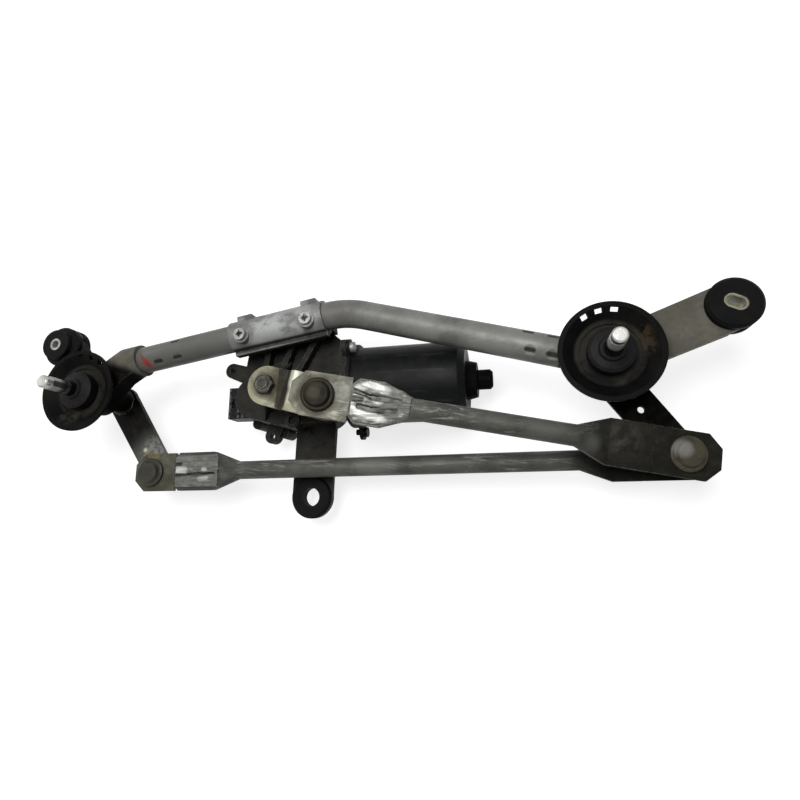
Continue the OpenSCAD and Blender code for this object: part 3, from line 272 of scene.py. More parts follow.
def make_soft_edge():
    tree, given, out = start_group("soft_edge", [("Radius", "NodeSocketFloat", 0.0005)],
                                   [("Normal", "NodeSocketVector"), ("Mask", "NodeSocketFloat")])
    bevel = tree.nodes.new("ShaderNodeBevel")
    bevel.samples = EDGE_SAMPLES
    tree.links.new(given["Radius"], bevel.inputs["Radius"])
    face = tree.nodes.new("ShaderNodeNewGeometry")
    dot = vector_node(tree, "DOT_PRODUCT", bevel.outputs["Normal"], face.outputs["Normal"], "Value")
    tree.links.new(bevel.outputs["Normal"], out["Normal"])
    mask = smooth_range(tree, dot, low=0.80, high=0.99, to_low=1.0, to_high=0.0)
    tree.links.new(mask, out["Mask"])
    return tree


def fade_out(tree, away, given):
    past = math_node(tree, "SUBTRACT", away, given["Radius"])
    share = math_node(tree, "DIVIDE", past, given["Blur"])
    return smooth_range(tree, share, low=0.0, high=1.0, to_low=1.0, to_high=0.0)


def make_spot():
    tree, given, out = start_group("spot", [
        ("Coordinates", "NodeSocketVector", None), ("Centre", "NodeSocketVector", (0.0, 0.0, 0.0)),
        ("Radius", "NodeSocketFloat", 0.01), ("Blur", "NodeSocketFloat", 0.005)],
        [("Mask", "NodeSocketFloat")])
    away = vector_node(tree, "DISTANCE", given["Coordinates"], given["Centre"], "Value")
    tree.links.new(fade_out(tree, away, given), out["Mask"])
    return tree


def make_stroke():
    tree, given, out = start_group("stroke", [
        ("Coordinates", "NodeSocketVector", None), ("Start", "NodeSocketVector", (0.0, 0.0, 0.0)),
        ("End", "NodeSocketVector", (0.0, 0.0, 0.01)), ("Radius", "NodeSocketFloat", 0.001),
        ("Blur", "NodeSocketFloat", 0.001)], [("Mask", "NodeSocketFloat")])
    line = vector_node(tree, "SUBTRACT", given["End"], given["Start"])
    past = vector_node(tree, "SUBTRACT", given["Coordinates"], given["Start"])
    share = math_node(tree, "DIVIDE", vector_node(tree, "DOT_PRODUCT", past, line, "Value"),
                      vector_node(tree, "DOT_PRODUCT", line, line, "Value"))
    share = math_node(tree, "MINIMUM", math_node(tree, "MAXIMUM", share, 0.0), 1.0)
    aside = vector_node(tree, "SUBTRACT", past, vector_node(tree, "SCALE", line, share))
    away = vector_node(tree, "LENGTH", aside, output="Value")
    tree.links.new(fade_out(tree, away, given), out["Mask"])
    return tree


def make_settled_dust():
    tree, given, out = start_group("settled_dust", [
        ("Coordinates", "NodeSocketVector", None), ("Scale", "NodeSocketFloat", 90.0)],
        [("Mask", "NodeSocketFloat")])
    face = tree.nodes.new("ShaderNodeNewGeometry")
    split = tree.nodes.new("ShaderNodeSeparateXYZ")
    tree.links.new(face.outputs["Normal"], split.inputs["Vector"])
    upward = smooth_range(tree, split.outputs["Z"], low=0.35, high=0.95)
    cloud = noise_node(tree, given["Coordinates"], given["Scale"], detail=8.0, roughness=0.7)
    film = smooth_range(tree, cloud, low=0.38, high=0.68)
    tree.links.new(math_node(tree, "MULTIPLY", upward, film), out["Mask"])
    return tree


PATCHES = make_patches()
STREAKS = make_streaks()
SOFT_EDGE = make_soft_edge()
SPOT = make_spot()
STROKE = make_stroke()
SETTLED_DUST = make_settled_dust()


# Finishes

# Where the masks of mottling, specks, ragged marks and chips start and end
MOTTLE_SPAN, SPECK_SPAN, RAGGED_SPAN, CHIP_SPAN = (0.36, 0.66), (0.3, 0.75), (0.4, 0.56), (0.42, 0.58)
SPECK_FINENESS, SPECK_SHARE, SPECK_TONE = 6.0, 0.35, 0.78
ROUGH_SPREAD, DUST_ROUGHNESS = 0.14, 0.3
CHIP_SCALE, GRAIN_DETAIL, DENT_CORE = 260.0, 4.0, 0.2
DARK_TINT = 0.06


def finish(name, colour, shade, rough, metal=0.0, sheen_level=0.5, mottle=55.0, grain=0.00008,
           grain_scale=1400.0, edge=0.0005, edge_wear_and_highlight=None, edge_wear_and_highlight_share=0.5, worn_metal=0.0, dust=None,
           dust_share=0.4, dust_scale=90.0, scratch=None, scratch_share=0.6, scratch_ways=(),
           spots=(), strokes=(), dents=()):
    made = bpy.data.materials.new(name)
    made.use_nodes = True
    tree = made.node_tree
    shader = tree.nodes["Principled BSDF"]
    place = tree.nodes.new("ShaderNodeTexCoord").outputs["Object"]

    def patches(scale, span):
        cloud = group_node(tree, PATCHES, Coordinates=place, Scale=scale, Low=span[0], High=span[1])
        return cloud.outputs["Mask"]

    def times(first, second):
        return math_node(tree, "MULTIPLY", first, second)

    patch = patches(mottle, MOTTLE_SPAN)
    fine = patches(mottle * SPECK_FINENESS, SPECK_SPAN)
    base = blend_colour(tree, patch, colour, shade)
    speck = tuple(SPECK_TONE * c for c in colour)
    base = blend_colour(tree, times(fine, SPECK_SHARE), base, speck)
    roughness = math_node(tree, "ADD", rough - ROUGH_SPREAD / 2.0, times(patch, ROUGH_SPREAD))
    metallic = metal
    edges = group_node(tree, SOFT_EDGE, Radius=edge)
    for stretch, turn, low in scratch_ways:
        line = group_node(tree, STREAKS, Coordinates=place, Stretch=stretch, Turn=turn, Low=low)
        base = blend_colour(tree, times(line.outputs["Mask"], scratch_share), base, scratch)
    marks = [(group_node(tree, SPOT, Coordinates=place, Centre=mm(*centre), Radius=radius * MM,
                         Blur=blur * MM), *rest)
             for centre, radius, blur, *rest in spots]
    marks += [(group_node(tree, STROKE, Coordinates=place, Start=mm(*start), End=mm(*end),
                          Radius=radius * MM, Blur=blur * MM), *rest)
              for start, end, radius, blur, *rest in strokes]
    matte = None
    for mark, tint, share, scale in marks:
        mask = mark.outputs["Mask"]
        if scale:
            mask = times(mask, patches(scale, RAGGED_SPAN))
        mask = times(mask, share)
        base = blend_colour(tree, mask, base, tint)
        if max(tint) < DARK_TINT:
            matte = mask if matte is None else math_node(tree, "MAXIMUM", matte, mask)
    # Edge tint: wear on most finishes, painted highlight on the edges and ribs of others
    if edge_wear_and_highlight:
        rubbed_and_lit_edges = times(edges.outputs["Mask"], patches(CHIP_SCALE, CHIP_SPAN))
        rubbed_and_lit_edges = times(rubbed_and_lit_edges, edge_wear_and_highlight_share)
        base = blend_colour(tree, rubbed_and_lit_edges, base, edge_wear_and_highlight)
        if worn_metal:
            metallic = math_node(tree, "MAXIMUM", times(rubbed_and_lit_edges, worn_metal), metal)
    if dust:
        film = group_node(tree, SETTLED_DUST, Coordinates=place, Scale=dust_scale).outputs["Mask"]
        film = times(film, dust_share)
        base = blend_colour(tree, film, base, dust)
        roughness = math_node(tree, "ADD", roughness, times(film, DUST_ROUGHNESS))
    relief = times(noise_node(tree, place, grain_scale, GRAIN_DETAIL), grain)
    for centre, radius, depth in dents:
        hollow = group_node(tree, SPOT, Coordinates=place, Centre=mm(*centre), Radius=DENT_CORE * radius * MM,
                            Blur=(1.0 - DENT_CORE) * radius * MM).outputs["Mask"]
        relief = math_node(tree, "SUBTRACT", relief, times(hollow, depth * MM))
    bump = tree.nodes.new("ShaderNodeBump")
    bump.inputs["Distance"].default_value = 1.0
    tree.links.new(relief, bump.inputs["Height"])
    tree.links.new(edges.outputs["Normal"], bump.inputs["Normal"])
    # Dark marks, grease and film on some finishes and painted shade on others, also lose the sheen
    sheen = sheen_level if matte is None else times(math_node(tree, "SUBTRACT", 1.0, matte), sheen_level)
    for label, value in (("Base Color", base), ("Roughness", roughness), ("Metallic", metallic),
                         ("Specular IOR Level", sheen), ("Normal", bump.outputs["Normal"])):
        feed(tree, value, shader.inputs[label])
    return made


def dress(material, *names):
    for name in names:
        for slot in nodes[name].material_slots:
            slot.material = material


# Streaks: length, width and depth of the pattern in metres, its turn, and where its mask starts
ALONG_DRIVE = ((0.05, 0.0022, 0.0022), (0.0, 0.0, -0.174), 0.53)
ALONG_LINK = ((0.05, 0.0022, 0.0022), (0.0, 0.0, 0.012), 0.53)
ALONG_TUBE = ((0.06, 0.003, 0.003), (0.0, 0.0, 0.154), 0.54)
ALONG_MOTOR = ((0.09, 0.004, 0.004), (0.0, 0.0, 0.0), 0.54)
ALONG_LEVER = ((0.028, 0.0014, 0.0014), (0.0, 0.0, -0.96), 0.55)
ALONG_CRANK = ((0.02, 0.0016, 0.0016), (0.0, 0.0, -0.28), 0.55)
ACROSS = ((0.0016, 0.016, 0.0016), (0.0, 0.0, 0.35), 0.57)
OBLIQUE = ((0.0015, 0.013, 0.003), (0.0, 0.0, -0.75), 0.57)

EARTH = (0.075, 0.062, 0.045)
PALE_DUST = (0.075, 0.072, 0.064)
# Dark tone of grime, used also as painted shade in dimples, crimp grooves, screw recesses, tip feet and on
# the crank's slope
GRIME_AND_SHADE = (0.020, 0.019, 0.016)
# Near-black painted shadow, on the pivot housings, the lower yoke screw and the pivot shafts
BLACK_SHADE = (0.0035, 0.0035, 0.004)

LEFT_PIVOT, RIGHT_PIVOT = (-186.5, 87.0), (232.0, 92.0)
SOCKET_RIBS = (-71.2, -62.8, -58.6)

# Dimples that crimp the tube on the pivots' necks
LEFT_WAY, RIGHT_WAY = (0.988, 0.153), (0.964, -0.267)
LEFT_DIMPLES = ((-120.3, 110.8, 53.0), (-102.5, 113.2, 53.2), (-105.8, 126.6, 52.0))
RIGHT_DIMPLES = ((180.6, 99.9, 53.0), (195.4, 95.2, 53.0), (179.9, 112.6, 51.0), (196.6, 107.6, 51.0))
DIMPLE_HALF, DIMPLE_RADIUS, DIMPLE_DEPTH = 2.6, 4.2, 0.7
LIP_BELOW, LIP_DROP, LIP_HIGHLIGHT = 2.9, 1.4, (0.30, 0.30, 0.28)


# Each dimple gets a painted shade stroke in its hollow and a painted highlight stroke on the lip below it
def dimple_strokes(at, way):
    x, y, z = at
    run_x, run_y = DIMPLE_HALF * way[0], DIMPLE_HALF * way[1]
    lip_y, lip_z = y - LIP_BELOW, z - LIP_DROP
    return (((x - run_x, y - run_y, z), (x + run_x, y + run_y, z), 1.2, 1.3, GRIME_AND_SHADE, 0.92, 0),
            ((x - run_x, lip_y - run_y, lip_z), (x + run_x, lip_y + run_y, lip_z), 0.4, 1.1,
             LIP_HIGHLIGHT, 0.55, 0))


# Marks of a finish, in mm. A spot has a centre and a stroke has a start and an end. Both then have a
# radius, a blur, a colour, a share and the scale of a ragged edge, or 0 for a smooth one.
# A dent has a centre, a radius and a depth.
dress(finish(
    "tube_zinc", (0.150, 0.150, 0.138), (0.092, 0.091, 0.083), 0.46, metal=0.12, sheen_level=0.25,
    mottle=34.0, edge_wear_and_highlight=(0.36, 0.36, 0.34), scratch=(0.28, 0.28, 0.265), scratch_share=0.55,
    scratch_ways=(ALONG_TUBE, OBLIQUE), dust=EARTH, dust_share=0.2,
    spots=(((-116.0, 117.0, 44.0), 42.0, 60.0, (0.080, 0.080, 0.073), 0.75, 0),
           ((130.0, 118.0, 55.0), 40.0, 60.0, (0.225, 0.225, 0.212), 0.5, 22.0)),
    strokes=(((-136.5, 117.5, 54.0), (-131.0, 110.0, 53.5), 0.5, 2.2, (0.090, 0.018, 0.013), 0.8, 0),
             ((-131.0, 110.0, 53.5), (-127.0, 102.0, 48.0), 0.8, 2.4, (0.105, 0.016, 0.010), 0.85, 0),
             ((-132.0, 111.5, 53.5), (-127.0, 103.0, 49.0), 1.8, 2.6, (0.27, 0.026, 0.014), 0.8, 210.0),
             *(stroke for at in LEFT_DIMPLES for stroke in dimple_strokes(at, LEFT_WAY)),
             *(stroke for at in RIGHT_DIMPLES for stroke in dimple_strokes(at, RIGHT_WAY))),
    dents=tuple((at, DIMPLE_RADIUS, DIMPLE_DEPTH) for at in LEFT_DIMPLES[:2] + RIGHT_DIMPLES[:2])),
    "frame_tube")
dress(finish(
    "saddle_zinc", (0.170, 0.173, 0.167), (0.098, 0.100, 0.096), 0.44, metal=0.15, sheen_level=0.28,
    mottle=46.0, edge_wear_and_highlight=(0.45, 0.45, 0.44), scratch=(0.40, 0.40, 0.39), scratch_share=0.5,
    scratch_ways=(ALONG_TUBE, ACROSS), dust=EARTH, dust_share=0.15,
    # The near-black stroke along the saddle's lower edge is painted shadow in the gap above its rim
    strokes=(((-52.0, 117.0, 47.0), (28.0, 127.0, 47.0), 1.6, 2.6, (0.010, 0.010, 0.009), 0.88, 0),),
    spots=(((-17.4, 128.7, 55.0), 11.0, 16.0, (0.40, 0.41, 0.40), 0.7, 60.0),
           ((1.1, 133.8, 56.0), 10.0, 16.0, (0.40, 0.41, 0.40), 0.6, 55.0),
           ((-36.0, 145.5, 46.0), 8.0, 5.0, (0.060, 0.061, 0.058), 0.9, 0),
           ((19.5, 153.5, 46.0), 8.0, 5.0, (0.060, 0.061, 0.058), 0.9, 0))),
    "tube_saddle")
dress(finish(
    "rod_zinc", (0.0911, 0.0917, 0.0818), (0.0488, 0.0488, 0.0429), 0.48, metal=0.12, sheen_level=0.14,
    mottle=42.0, edge_wear_and_highlight=(0.46, 0.46, 0.43), scratch=(0.36, 0.36, 0.335), scratch_share=0.55,
    scratch_ways=(ALONG_DRIVE, ALONG_LINK), dust=EARTH, dust_share=0.2,
    spots=(((278.2, 26.1, 37.0), 14.0, 3.0, (0.030, 0.027, 0.018), 0.8, 0),
           ((264.0, 29.0, 34.0), 40.0, 34.0, (0.013, 0.013, 0.0110), 0.97, 0),
           ((238.0, 37.0, 42.0), 4.0, 14.0, (0.075, 0.075, 0.066), 0.6, 60.0),
           ((-92.0, 21.5, 22.0), 20.0, 18.0, (0.052, 0.052, 0.046), 0.8, 40.0),
           ((60.0, 26.0, 22.0), 4.0, 24.0, (0.22, 0.22, 0.205), 0.45, 0),
           ((214.0, 34.0, 46.0), 3.0, 9.0, (0.27, 0.27, 0.25), 0.5, 0),
           ((82.0, 61.0, 76.0), 14.0, 12.0, (0.24, 0.24, 0.22), 0.6, 80.0))),
    "drive_rod", "link_rod", "drive_rod_right_plate", "link_rod_right_plate")
dress(finish(
    "pivot_alloy", (0.108, 0.104, 0.082), (0.060, 0.056, 0.042), 0.55, metal=0.1, sheen_level=0.2,
    mottle=60.0, grain=0.00014, grain_scale=700.0, edge_wear_and_highlight=(0.30, 0.295, 0.26),
    scratch=(0.22, 0.215, 0.19), scratch_share=0.4, scratch_ways=(OBLIQUE,), dust=EARTH, dust_share=0.3,
    # The black spots on the left housing and the dark spot round the right pivot are painted shadow
    spots=(((-164.0, 84.0, 40.0), 27.0, 7.0, BLACK_SHADE, 0.97, 0),
           ((-144.0, 96.0, 34.0), 9.0, 5.0, BLACK_SHADE, 0.95, 0),
           ((-200.0, 112.0, 46.0), 26.0, 8.0, BLACK_SHADE, 0.95, 0),
           ((*RIGHT_PIVOT, 44.0), 33.0, 12.0, (0.020, 0.017, 0.012), 0.9, 0),
           ((285.0, 113.0, 40.0), 32.0, 20.0, (0.072, 0.068, 0.053), 0.8, 0),
           ((290.0, 113.0, 50.0), 10.0, 16.0, (0.15, 0.146, 0.125), 0.4, 50.0))),
    "left_pivot_housing", "right_pivot_housing")
dress(finish(
    "charcoal_casting", (0.0145, 0.0145, 0.0130), (0.0080, 0.0080, 0.0072), 0.55, sheen_level=0.08,
    # The pale edge tint is painted highlight on the casting's ribs and edges
    mottle=60.0, grain=0.0002, grain_scale=800.0, edge_wear_and_highlight=(0.24, 0.24, 0.22),
    edge_wear_and_highlight_share=0.8, edge=0.0008, dust=(0.050, 0.045, 0.033), dust_share=0.35,
    spots=(((-7.0, 60.0, 2.0), 2.6, 1.2, (0.022, 0.005, 0.005), 0.9, 0),)),
    "gear_housing", "lower_mount_arm")
dress(finish(
    "cup_plastic", (0.0024, 0.0024, 0.0027), (0.0045, 0.0043, 0.0041), 0.46, sheen_level=0.03,
    mottle=40.0, edge_wear_and_highlight=(0.03, 0.029, 0.027), edge_wear_and_highlight_share=0.3, dust=(0.030, 0.027, 0.021), dust_share=0.14,
    dust_scale=60.0,
    spots=(((*LEFT_PIVOT, 57.0), 21.0, 4.0, (0.026, 0.0235, 0.0190), 0.8, 36.0),
           ((*RIGHT_PIVOT, 57.0), 21.0, 4.0, (0.031, 0.0290, 0.0240), 0.8, 36.0),
           ((254.5, 103.0, 60.0), 3.5, 5.0, (0.052, 0.036, 0.020), 0.6, 170.0),
           ((256.0, 94.5, 60.0), 3.0, 4.5, (0.046, 0.034, 0.020), 0.6, 170.0),
           ((-196.0, 66.0, 58.0), 6.0, 6.0, (0.036, 0.032, 0.026), 0.7, 120.0))),
    "left_drain_cup", "right_drain_cup")
dress(finish(
    "black_plastic", (0.005, 0.005, 0.0055), (0.009, 0.009, 0.0095), 0.45, sheen_level=0.08,
    # The pale edge tint and the three pale lines on the socket's ribs are painted highlight
    mottle=50.0, edge=0.0009, edge_wear_and_highlight=(0.13, 0.13, 0.135), edge_wear_and_highlight_share=0.9, dust=PALE_DUST, dust_share=0.12,
    strokes=tuple(((x, 67.0, 20.0), (x, 91.0, 20.0), 0.5, 0.9, (0.11, 0.11, 0.115), 0.75, 0)
                  for x in SOCKET_RIBS)),
    "connector_socket", "gear_cover")
dress(finish(
    "rubber", (0.0024, 0.0026, 0.0029), (0.0040, 0.0041, 0.0043), 0.62, sheen_level=0.06, mottle=60.0,
    grain=0.0001, edge=0.0009, edge_wear_and_highlight=(0.035, 0.035, 0.034), dust=EARTH, dust_share=0.05),
    "left_mount_grommet", "right_mount_grommet", "lower_mount_grommet")
dress(finish(
    "seal_rubber", (0.0038, 0.004, 0.0056), (0.0065, 0.0065, 0.0075), 0.5, sheen_level=0.08,
    mottle=60.0, edge=0.0008, edge_wear_and_highlight=(0.045, 0.045, 0.045), edge_wear_and_highlight_share=0.4, dust=EARTH, dust_share=0.15),
    "left_seal_cap", "right_seal_cap")
dress(finish(
    "yoke_paint", (0.0047, 0.0053, 0.0053), (0.0070, 0.0075, 0.0075), 0.42, sheen_level=0.06,
    mottle=50.0, edge_wear_and_highlight=(0.11, 0.11, 0.105), edge_wear_and_highlight_share=0.3, scratch=(0.05, 0.05, 0.05),
    scratch_share=0.35, scratch_ways=(ALONG_MOTOR,), dust=PALE_DUST, dust_share=0.04,
    spots=(((144.0, 90.0, 4.0), 20.0, 14.0, (0.0035, 0.0035, 0.0035), 0.9, 0),)),
    "motor_yoke")
dress(finish(
    "lever_paint", (0.0050, 0.0050, 0.0050), (0.0095, 0.0095, 0.0090), 0.44, sheen_level=0.07,
    mottle=55.0, edge_wear_and_highlight=(0.22, 0.215, 0.20), edge_wear_and_highlight_share=0.75, worn_metal=0.5, scratch=(0.07, 0.07, 0.066),
    scratch_share=0.3, scratch_ways=(ALONG_LEVER, ACROSS), dust=EARTH, dust_share=0.15,
    spots=(((-144.0, 28.0, 12.0), 14.0, 26.0, (0.125, 0.126, 0.110), 0.85, 0),
           # The near-black spot over the right lever is painted shade
           ((255.0, 62.0, 12.0), 60.0, 20.0, (0.0016, 0.0016, 0.0015), 0.9, 0),
           ((-148.0, 40.0, 12.0), 6.0, 12.0, (0.30, 0.30, 0.28), 0.6, 260.0),
           ((-157.5, 42.0, 13.0), 1.2, 1.8, (0.62, 0.60, 0.46), 0.9, 0))),
    "left_lever", "right_lever")
dress(finish(
    "yellow_zinc", (0.300, 0.288, 0.198), (0.105, 0.096, 0.058), 0.38, metal=0.25, sheen_level=0.35,
    mottle=58.0, edge_wear_and_highlight=(0.60, 0.59, 0.49), scratch=(0.50, 0.49, 0.41), scratch_share=0.45,
    scratch_ways=(ALONG_CRANK, OBLIQUE), dust=EARTH, dust_share=0.3,
    # The dark stroke right of the nut is grime and painted shade, the broad dark stroke on the slope is
    # painted shade, and the pale stroke and the first two pale spots are painted highlight
    strokes=(((-8.0, 97.0, 57.0), (-10.5, 74.0, 57.0), 1.5, 6.5, (0.052, 0.047, 0.031), 0.75, 0),
             ((-1.5, 99.0, 60.0), (-4.0, 68.0, 60.0), 6.4, 1.6, GRIME_AND_SHADE, 0.95, 0),
             ((24.0, 82.0, 65.5), (18.0, 66.0, 65.5), 1.0, 5.0, (0.055, 0.049, 0.030), 0.7, 80.0),
             ((8.5, 93.0, 65.5), (7.0, 84.0, 65.5), 2.6, 5.0, (0.66, 0.67, 0.55), 0.95, 0)),
    spots=(((8.0, 72.0, 65.0), 3.0, 6.0, (0.50, 0.49, 0.38), 0.6, 90.0),
           ((-8.0, 76.5, 57.0), 1.6, 1.6, (0.70, 0.69, 0.56), 0.9, 0),
           ((33.9, 69.0, 64.0), 13.0, 6.0, (0.115, 0.103, 0.064), 0.6, 50.0),
           ((-18.5, 84.0, 56.0), 9.4, 3.4, (0.050, 0.046, 0.030), 0.6, 0),
           ((-10.0, 90.0, 57.0), 3.0, 7.0, (0.045, 0.042, 0.028), 0.7, 90.0))),
    "crank_arm", "right_mount_sleeve")
dress(finish(
    "plate_zinc", (0.1115, 0.1095, 0.0873), (0.0656, 0.0636, 0.0479), 0.42, metal=0.2, sheen_level=0.15,
    mottle=80.0, edge_wear_and_highlight=(0.44, 0.43, 0.37), scratch=(0.34, 0.335, 0.29), scratch_share=0.5,
    scratch_ways=(ALONG_DRIVE, OBLIQUE), dust=EARTH, dust_share=0.3,
    spots=(((-140.3, 21.1, 24.0), 18.0, 12.0, (0.052, 0.050, 0.034), 0.75, 60.0),
           ((33.9, 69.0, 79.0), 13.6, 3.6, (0.040, 0.035, 0.022), 0.65, 0),
           ((26.0, 64.0, 79.0), 7.0, 8.0, (0.048, 0.043, 0.027), 0.7, 70.0),
           ((48.0, 75.0, 77.0), 5.0, 8.0, (0.30, 0.30, 0.27), 0.35, 55.0),
           ((-140.3, 36.0, 24.0), 4.0, 5.0, (0.20, 0.175, 0.075), 0.6, 120.0))),
    "drive_rod_left_plate", "link_rod_left_plate")
dress(finish(
    "nut_zinc", (0.0560, 0.0544, 0.0448), (0.0208, 0.0200, 0.0160), 0.40, metal=0.2, sheen_level=0.08,
    # The pale edge tint is painted highlight on the nut's edges
    mottle=140.0, edge=0.0012, edge_wear_and_highlight=(0.56, 0.55, 0.49), edge_wear_and_highlight_share=0.9, dust=EARTH, dust_share=0.15),
    "crank_nut", "output_shaft", "right_thrust_washer", "left_thrust_washer")
dress(finish(
    "screw_zinc", (0.38, 0.38, 0.36), (0.20, 0.20, 0.185), 0.40, metal=0.4, mottle=160.0,
    edge_wear_and_highlight=(0.55, 0.55, 0.52), edge_wear_and_highlight_share=0.8, dust=GRIME_AND_SHADE, dust_share=0.3, dust_scale=320.0,
    # The black spot on the lower yoke screw and the dark spots in the saddle screws' recesses are painted
    # shade
    spots=(((44.0, 54.0, -4.75), 12.0, 2.0, BLACK_SHADE, 0.97, 0),
           ((12.8, 135.1, 59.8), 1.9, 0.9, GRIME_AND_SHADE, 0.95, 0),
           ((-42.5, 126.5, 59.8), 1.9, 0.9, GRIME_AND_SHADE, 0.95, 0))),
    "saddle_screws", "yoke_screws", "gear_cover_screws", "left_mount_sleeve")
dress(finish(
    "bright_steel", (0.46, 0.46, 0.435), (0.28, 0.28, 0.26), 0.27, metal=0.85, mottle=90.0,
    edge_wear_and_highlight=(0.75, 0.75, 0.73), scratch=(0.10, 0.10, 0.095), scratch_share=0.45, scratch_ways=(ACROSS,),
    # The black spots round the pivots are painted shade on the shafts below the tips
    spots=(((*LEFT_PIVOT, 66.0), 15.0, 2.5, BLACK_SHADE, 0.95, 0),
           ((*RIGHT_PIVOT, 66.0), 15.0, 2.5, BLACK_SHADE, 0.95, 0))),
    "crank_ball_stud", "drive_rod_right_ball", "right_pivot_shaft", "left_pivot_shaft",
    "right_lever_studs", "left_lever_stud")
dress(finish(
    "socket_brown", (0.0160, 0.0136, 0.0084), (0.0068, 0.0056, 0.0036), 0.46, sheen_level=0.07,
    mottle=120.0, edge_wear_and_highlight=(0.12, 0.108, 0.07), dust=EARTH, dust_share=0.2,
    # The paler spot on the middle of the dome is painted highlight
    spots=(((33.9, 69.0, 87.0), 2.5, 3.5, (0.070, 0.060, 0.038), 0.5, 0),)),
    "drive_rod_left_socket", "link_rod_right_socket")
dress(finish(
    "socket_olive", (0.0350, 0.0343, 0.0259), (0.0182, 0.0175, 0.0126), 0.42, sheen_level=0.22,
    metal=0.1, mottle=110.0, edge_wear_and_highlight=(0.19, 0.175, 0.105), dust=EARTH, dust_share=0.3),
    "link_rod_left_socket")
dress(finish(
    "socket_metal", (0.0600, 0.0540, 0.0360), (0.0300, 0.0260, 0.0170), 0.42, metal=0.1,
    sheen_level=0.12, mottle=80.0, edge_wear_and_highlight=(0.36, 0.34, 0.28), dust=EARTH, dust_share=0.25,
    spots=(((275.0, 29.0, 39.0), 4.0, 4.0, (0.25, 0.245, 0.225), 0.65, 0),)),
    "drive_rod_right_socket")
dress(finish(
    "bronze", (0.42, 0.25, 0.12), (0.30, 0.17, 0.08), 0.4, metal=0.9, mottle=120.0),
    "left_pivot_bushes", "right_pivot_bushes", "armature_bush", "output_bush")
dress(finish(
    "gear_acetal", (0.72, 0.70, 0.63), (0.62, 0.59, 0.5), 0.35, mottle=80.0, dust=(0.35, 0.25, 0.12),
    dust_share=0.2),
    "output_gear", "counter_gear", "brush_card")
dress(finish(
    "ferrite", (0.05, 0.05, 0.053), (0.035, 0.035, 0.037), 0.6, metal=0.2, mottle=120.0),
    "motor_magnets")
dress(finish(
    "core_steel", (0.32, 0.32, 0.32), (0.22, 0.22, 0.22), 0.4, metal=0.85, mottle=120.0,
    scratch=(0.12, 0.12, 0.12), scratch_ways=(ACROSS,)),
    "armature")
dress(finish(
    "terminal_brass", (0.58, 0.46, 0.24), (0.46, 0.36, 0.18), 0.3, metal=0.95, mottle=150.0),
    "connector_terminals")


# Pieces that only the dressed part has

SMOOTH_ANGLE = math.radians(40.0)


def apply_modifier(piece, kind, **settings):
    step = piece.modifiers.new(kind.lower(), kind)
    for label, value in settings.items():
        setattr(step, label, value)
    bpy.ops.object.modifier_apply(modifier=step.name)


def pick_vertices(piece, test):
    bpy.ops.object.mode_set(mode="EDIT")
    bpy.ops.mesh.select_mode(type="VERT")
    bpy.ops.mesh.select_all(action="DESELECT")
    bpy.ops.object.mode_set(mode="OBJECT")
    for vertex in piece.data.vertices:
        vertex.select = test(vertex.co)
    bpy.ops.object.mode_set(mode="EDIT")


def settle(piece, name, body, material):
    bpy.ops.object.mode_set(mode="OBJECT")
    bpy.ops.object.transform_apply(location=True, rotation=True, scale=True)
    bpy.ops.object.shade_smooth_by_angle(angle=SMOOTH_ANGLE)
    piece.name = name
    piece.data.materials.clear()
    piece.data.materials.append(material)
    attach(piece, body)


# Torn skin of the crimps. A grid is dropped on the rod from START_ABOVE, and points that miss it are deleted.
# Heights of the grid and the thickness are in metres, other lengths in mm.

GRID_ALONG, GRID_ACROSS = 96, 64
START_ABOVE, MISSED_ABOVE = 0.03, -0.001
SKIN_RISE, SKIN_THICKNESS = 1.5, 0.0007
GROOVE_STEPS = (1.0, 0.75, 0.5, 0.25)
FOLD_STRETCH, FOLD_SCALE, FOLD_DETAIL, FOLD_HEIGHT = 0.3, 0.2, 2, 3.2
BORDER_RINGS, BORDER_SINK = 2, 1.8
# Painted shade in a groove: radius and blur as shares of its width, height over the rod's axis
GROOVE_SHADE_INSET, GROOVE_SHADE_WIDTH, GROOVE_SHADE_BLUR, GROOVE_SHADE_SHARE, GROOVE_SHADE_HEIGHT = 1.5, 0.45, 1.3, 0.88, 4.6


def rod_axes(start, end):
    along = (end - start).normalized()
    side = Vector((0.0, 0.0, 1.0)).cross(along).normalized()
    turn = Matrix((along, side, along.cross(side))).transposed().to_4x4()
    return Matrix.Translation(start) @ turn


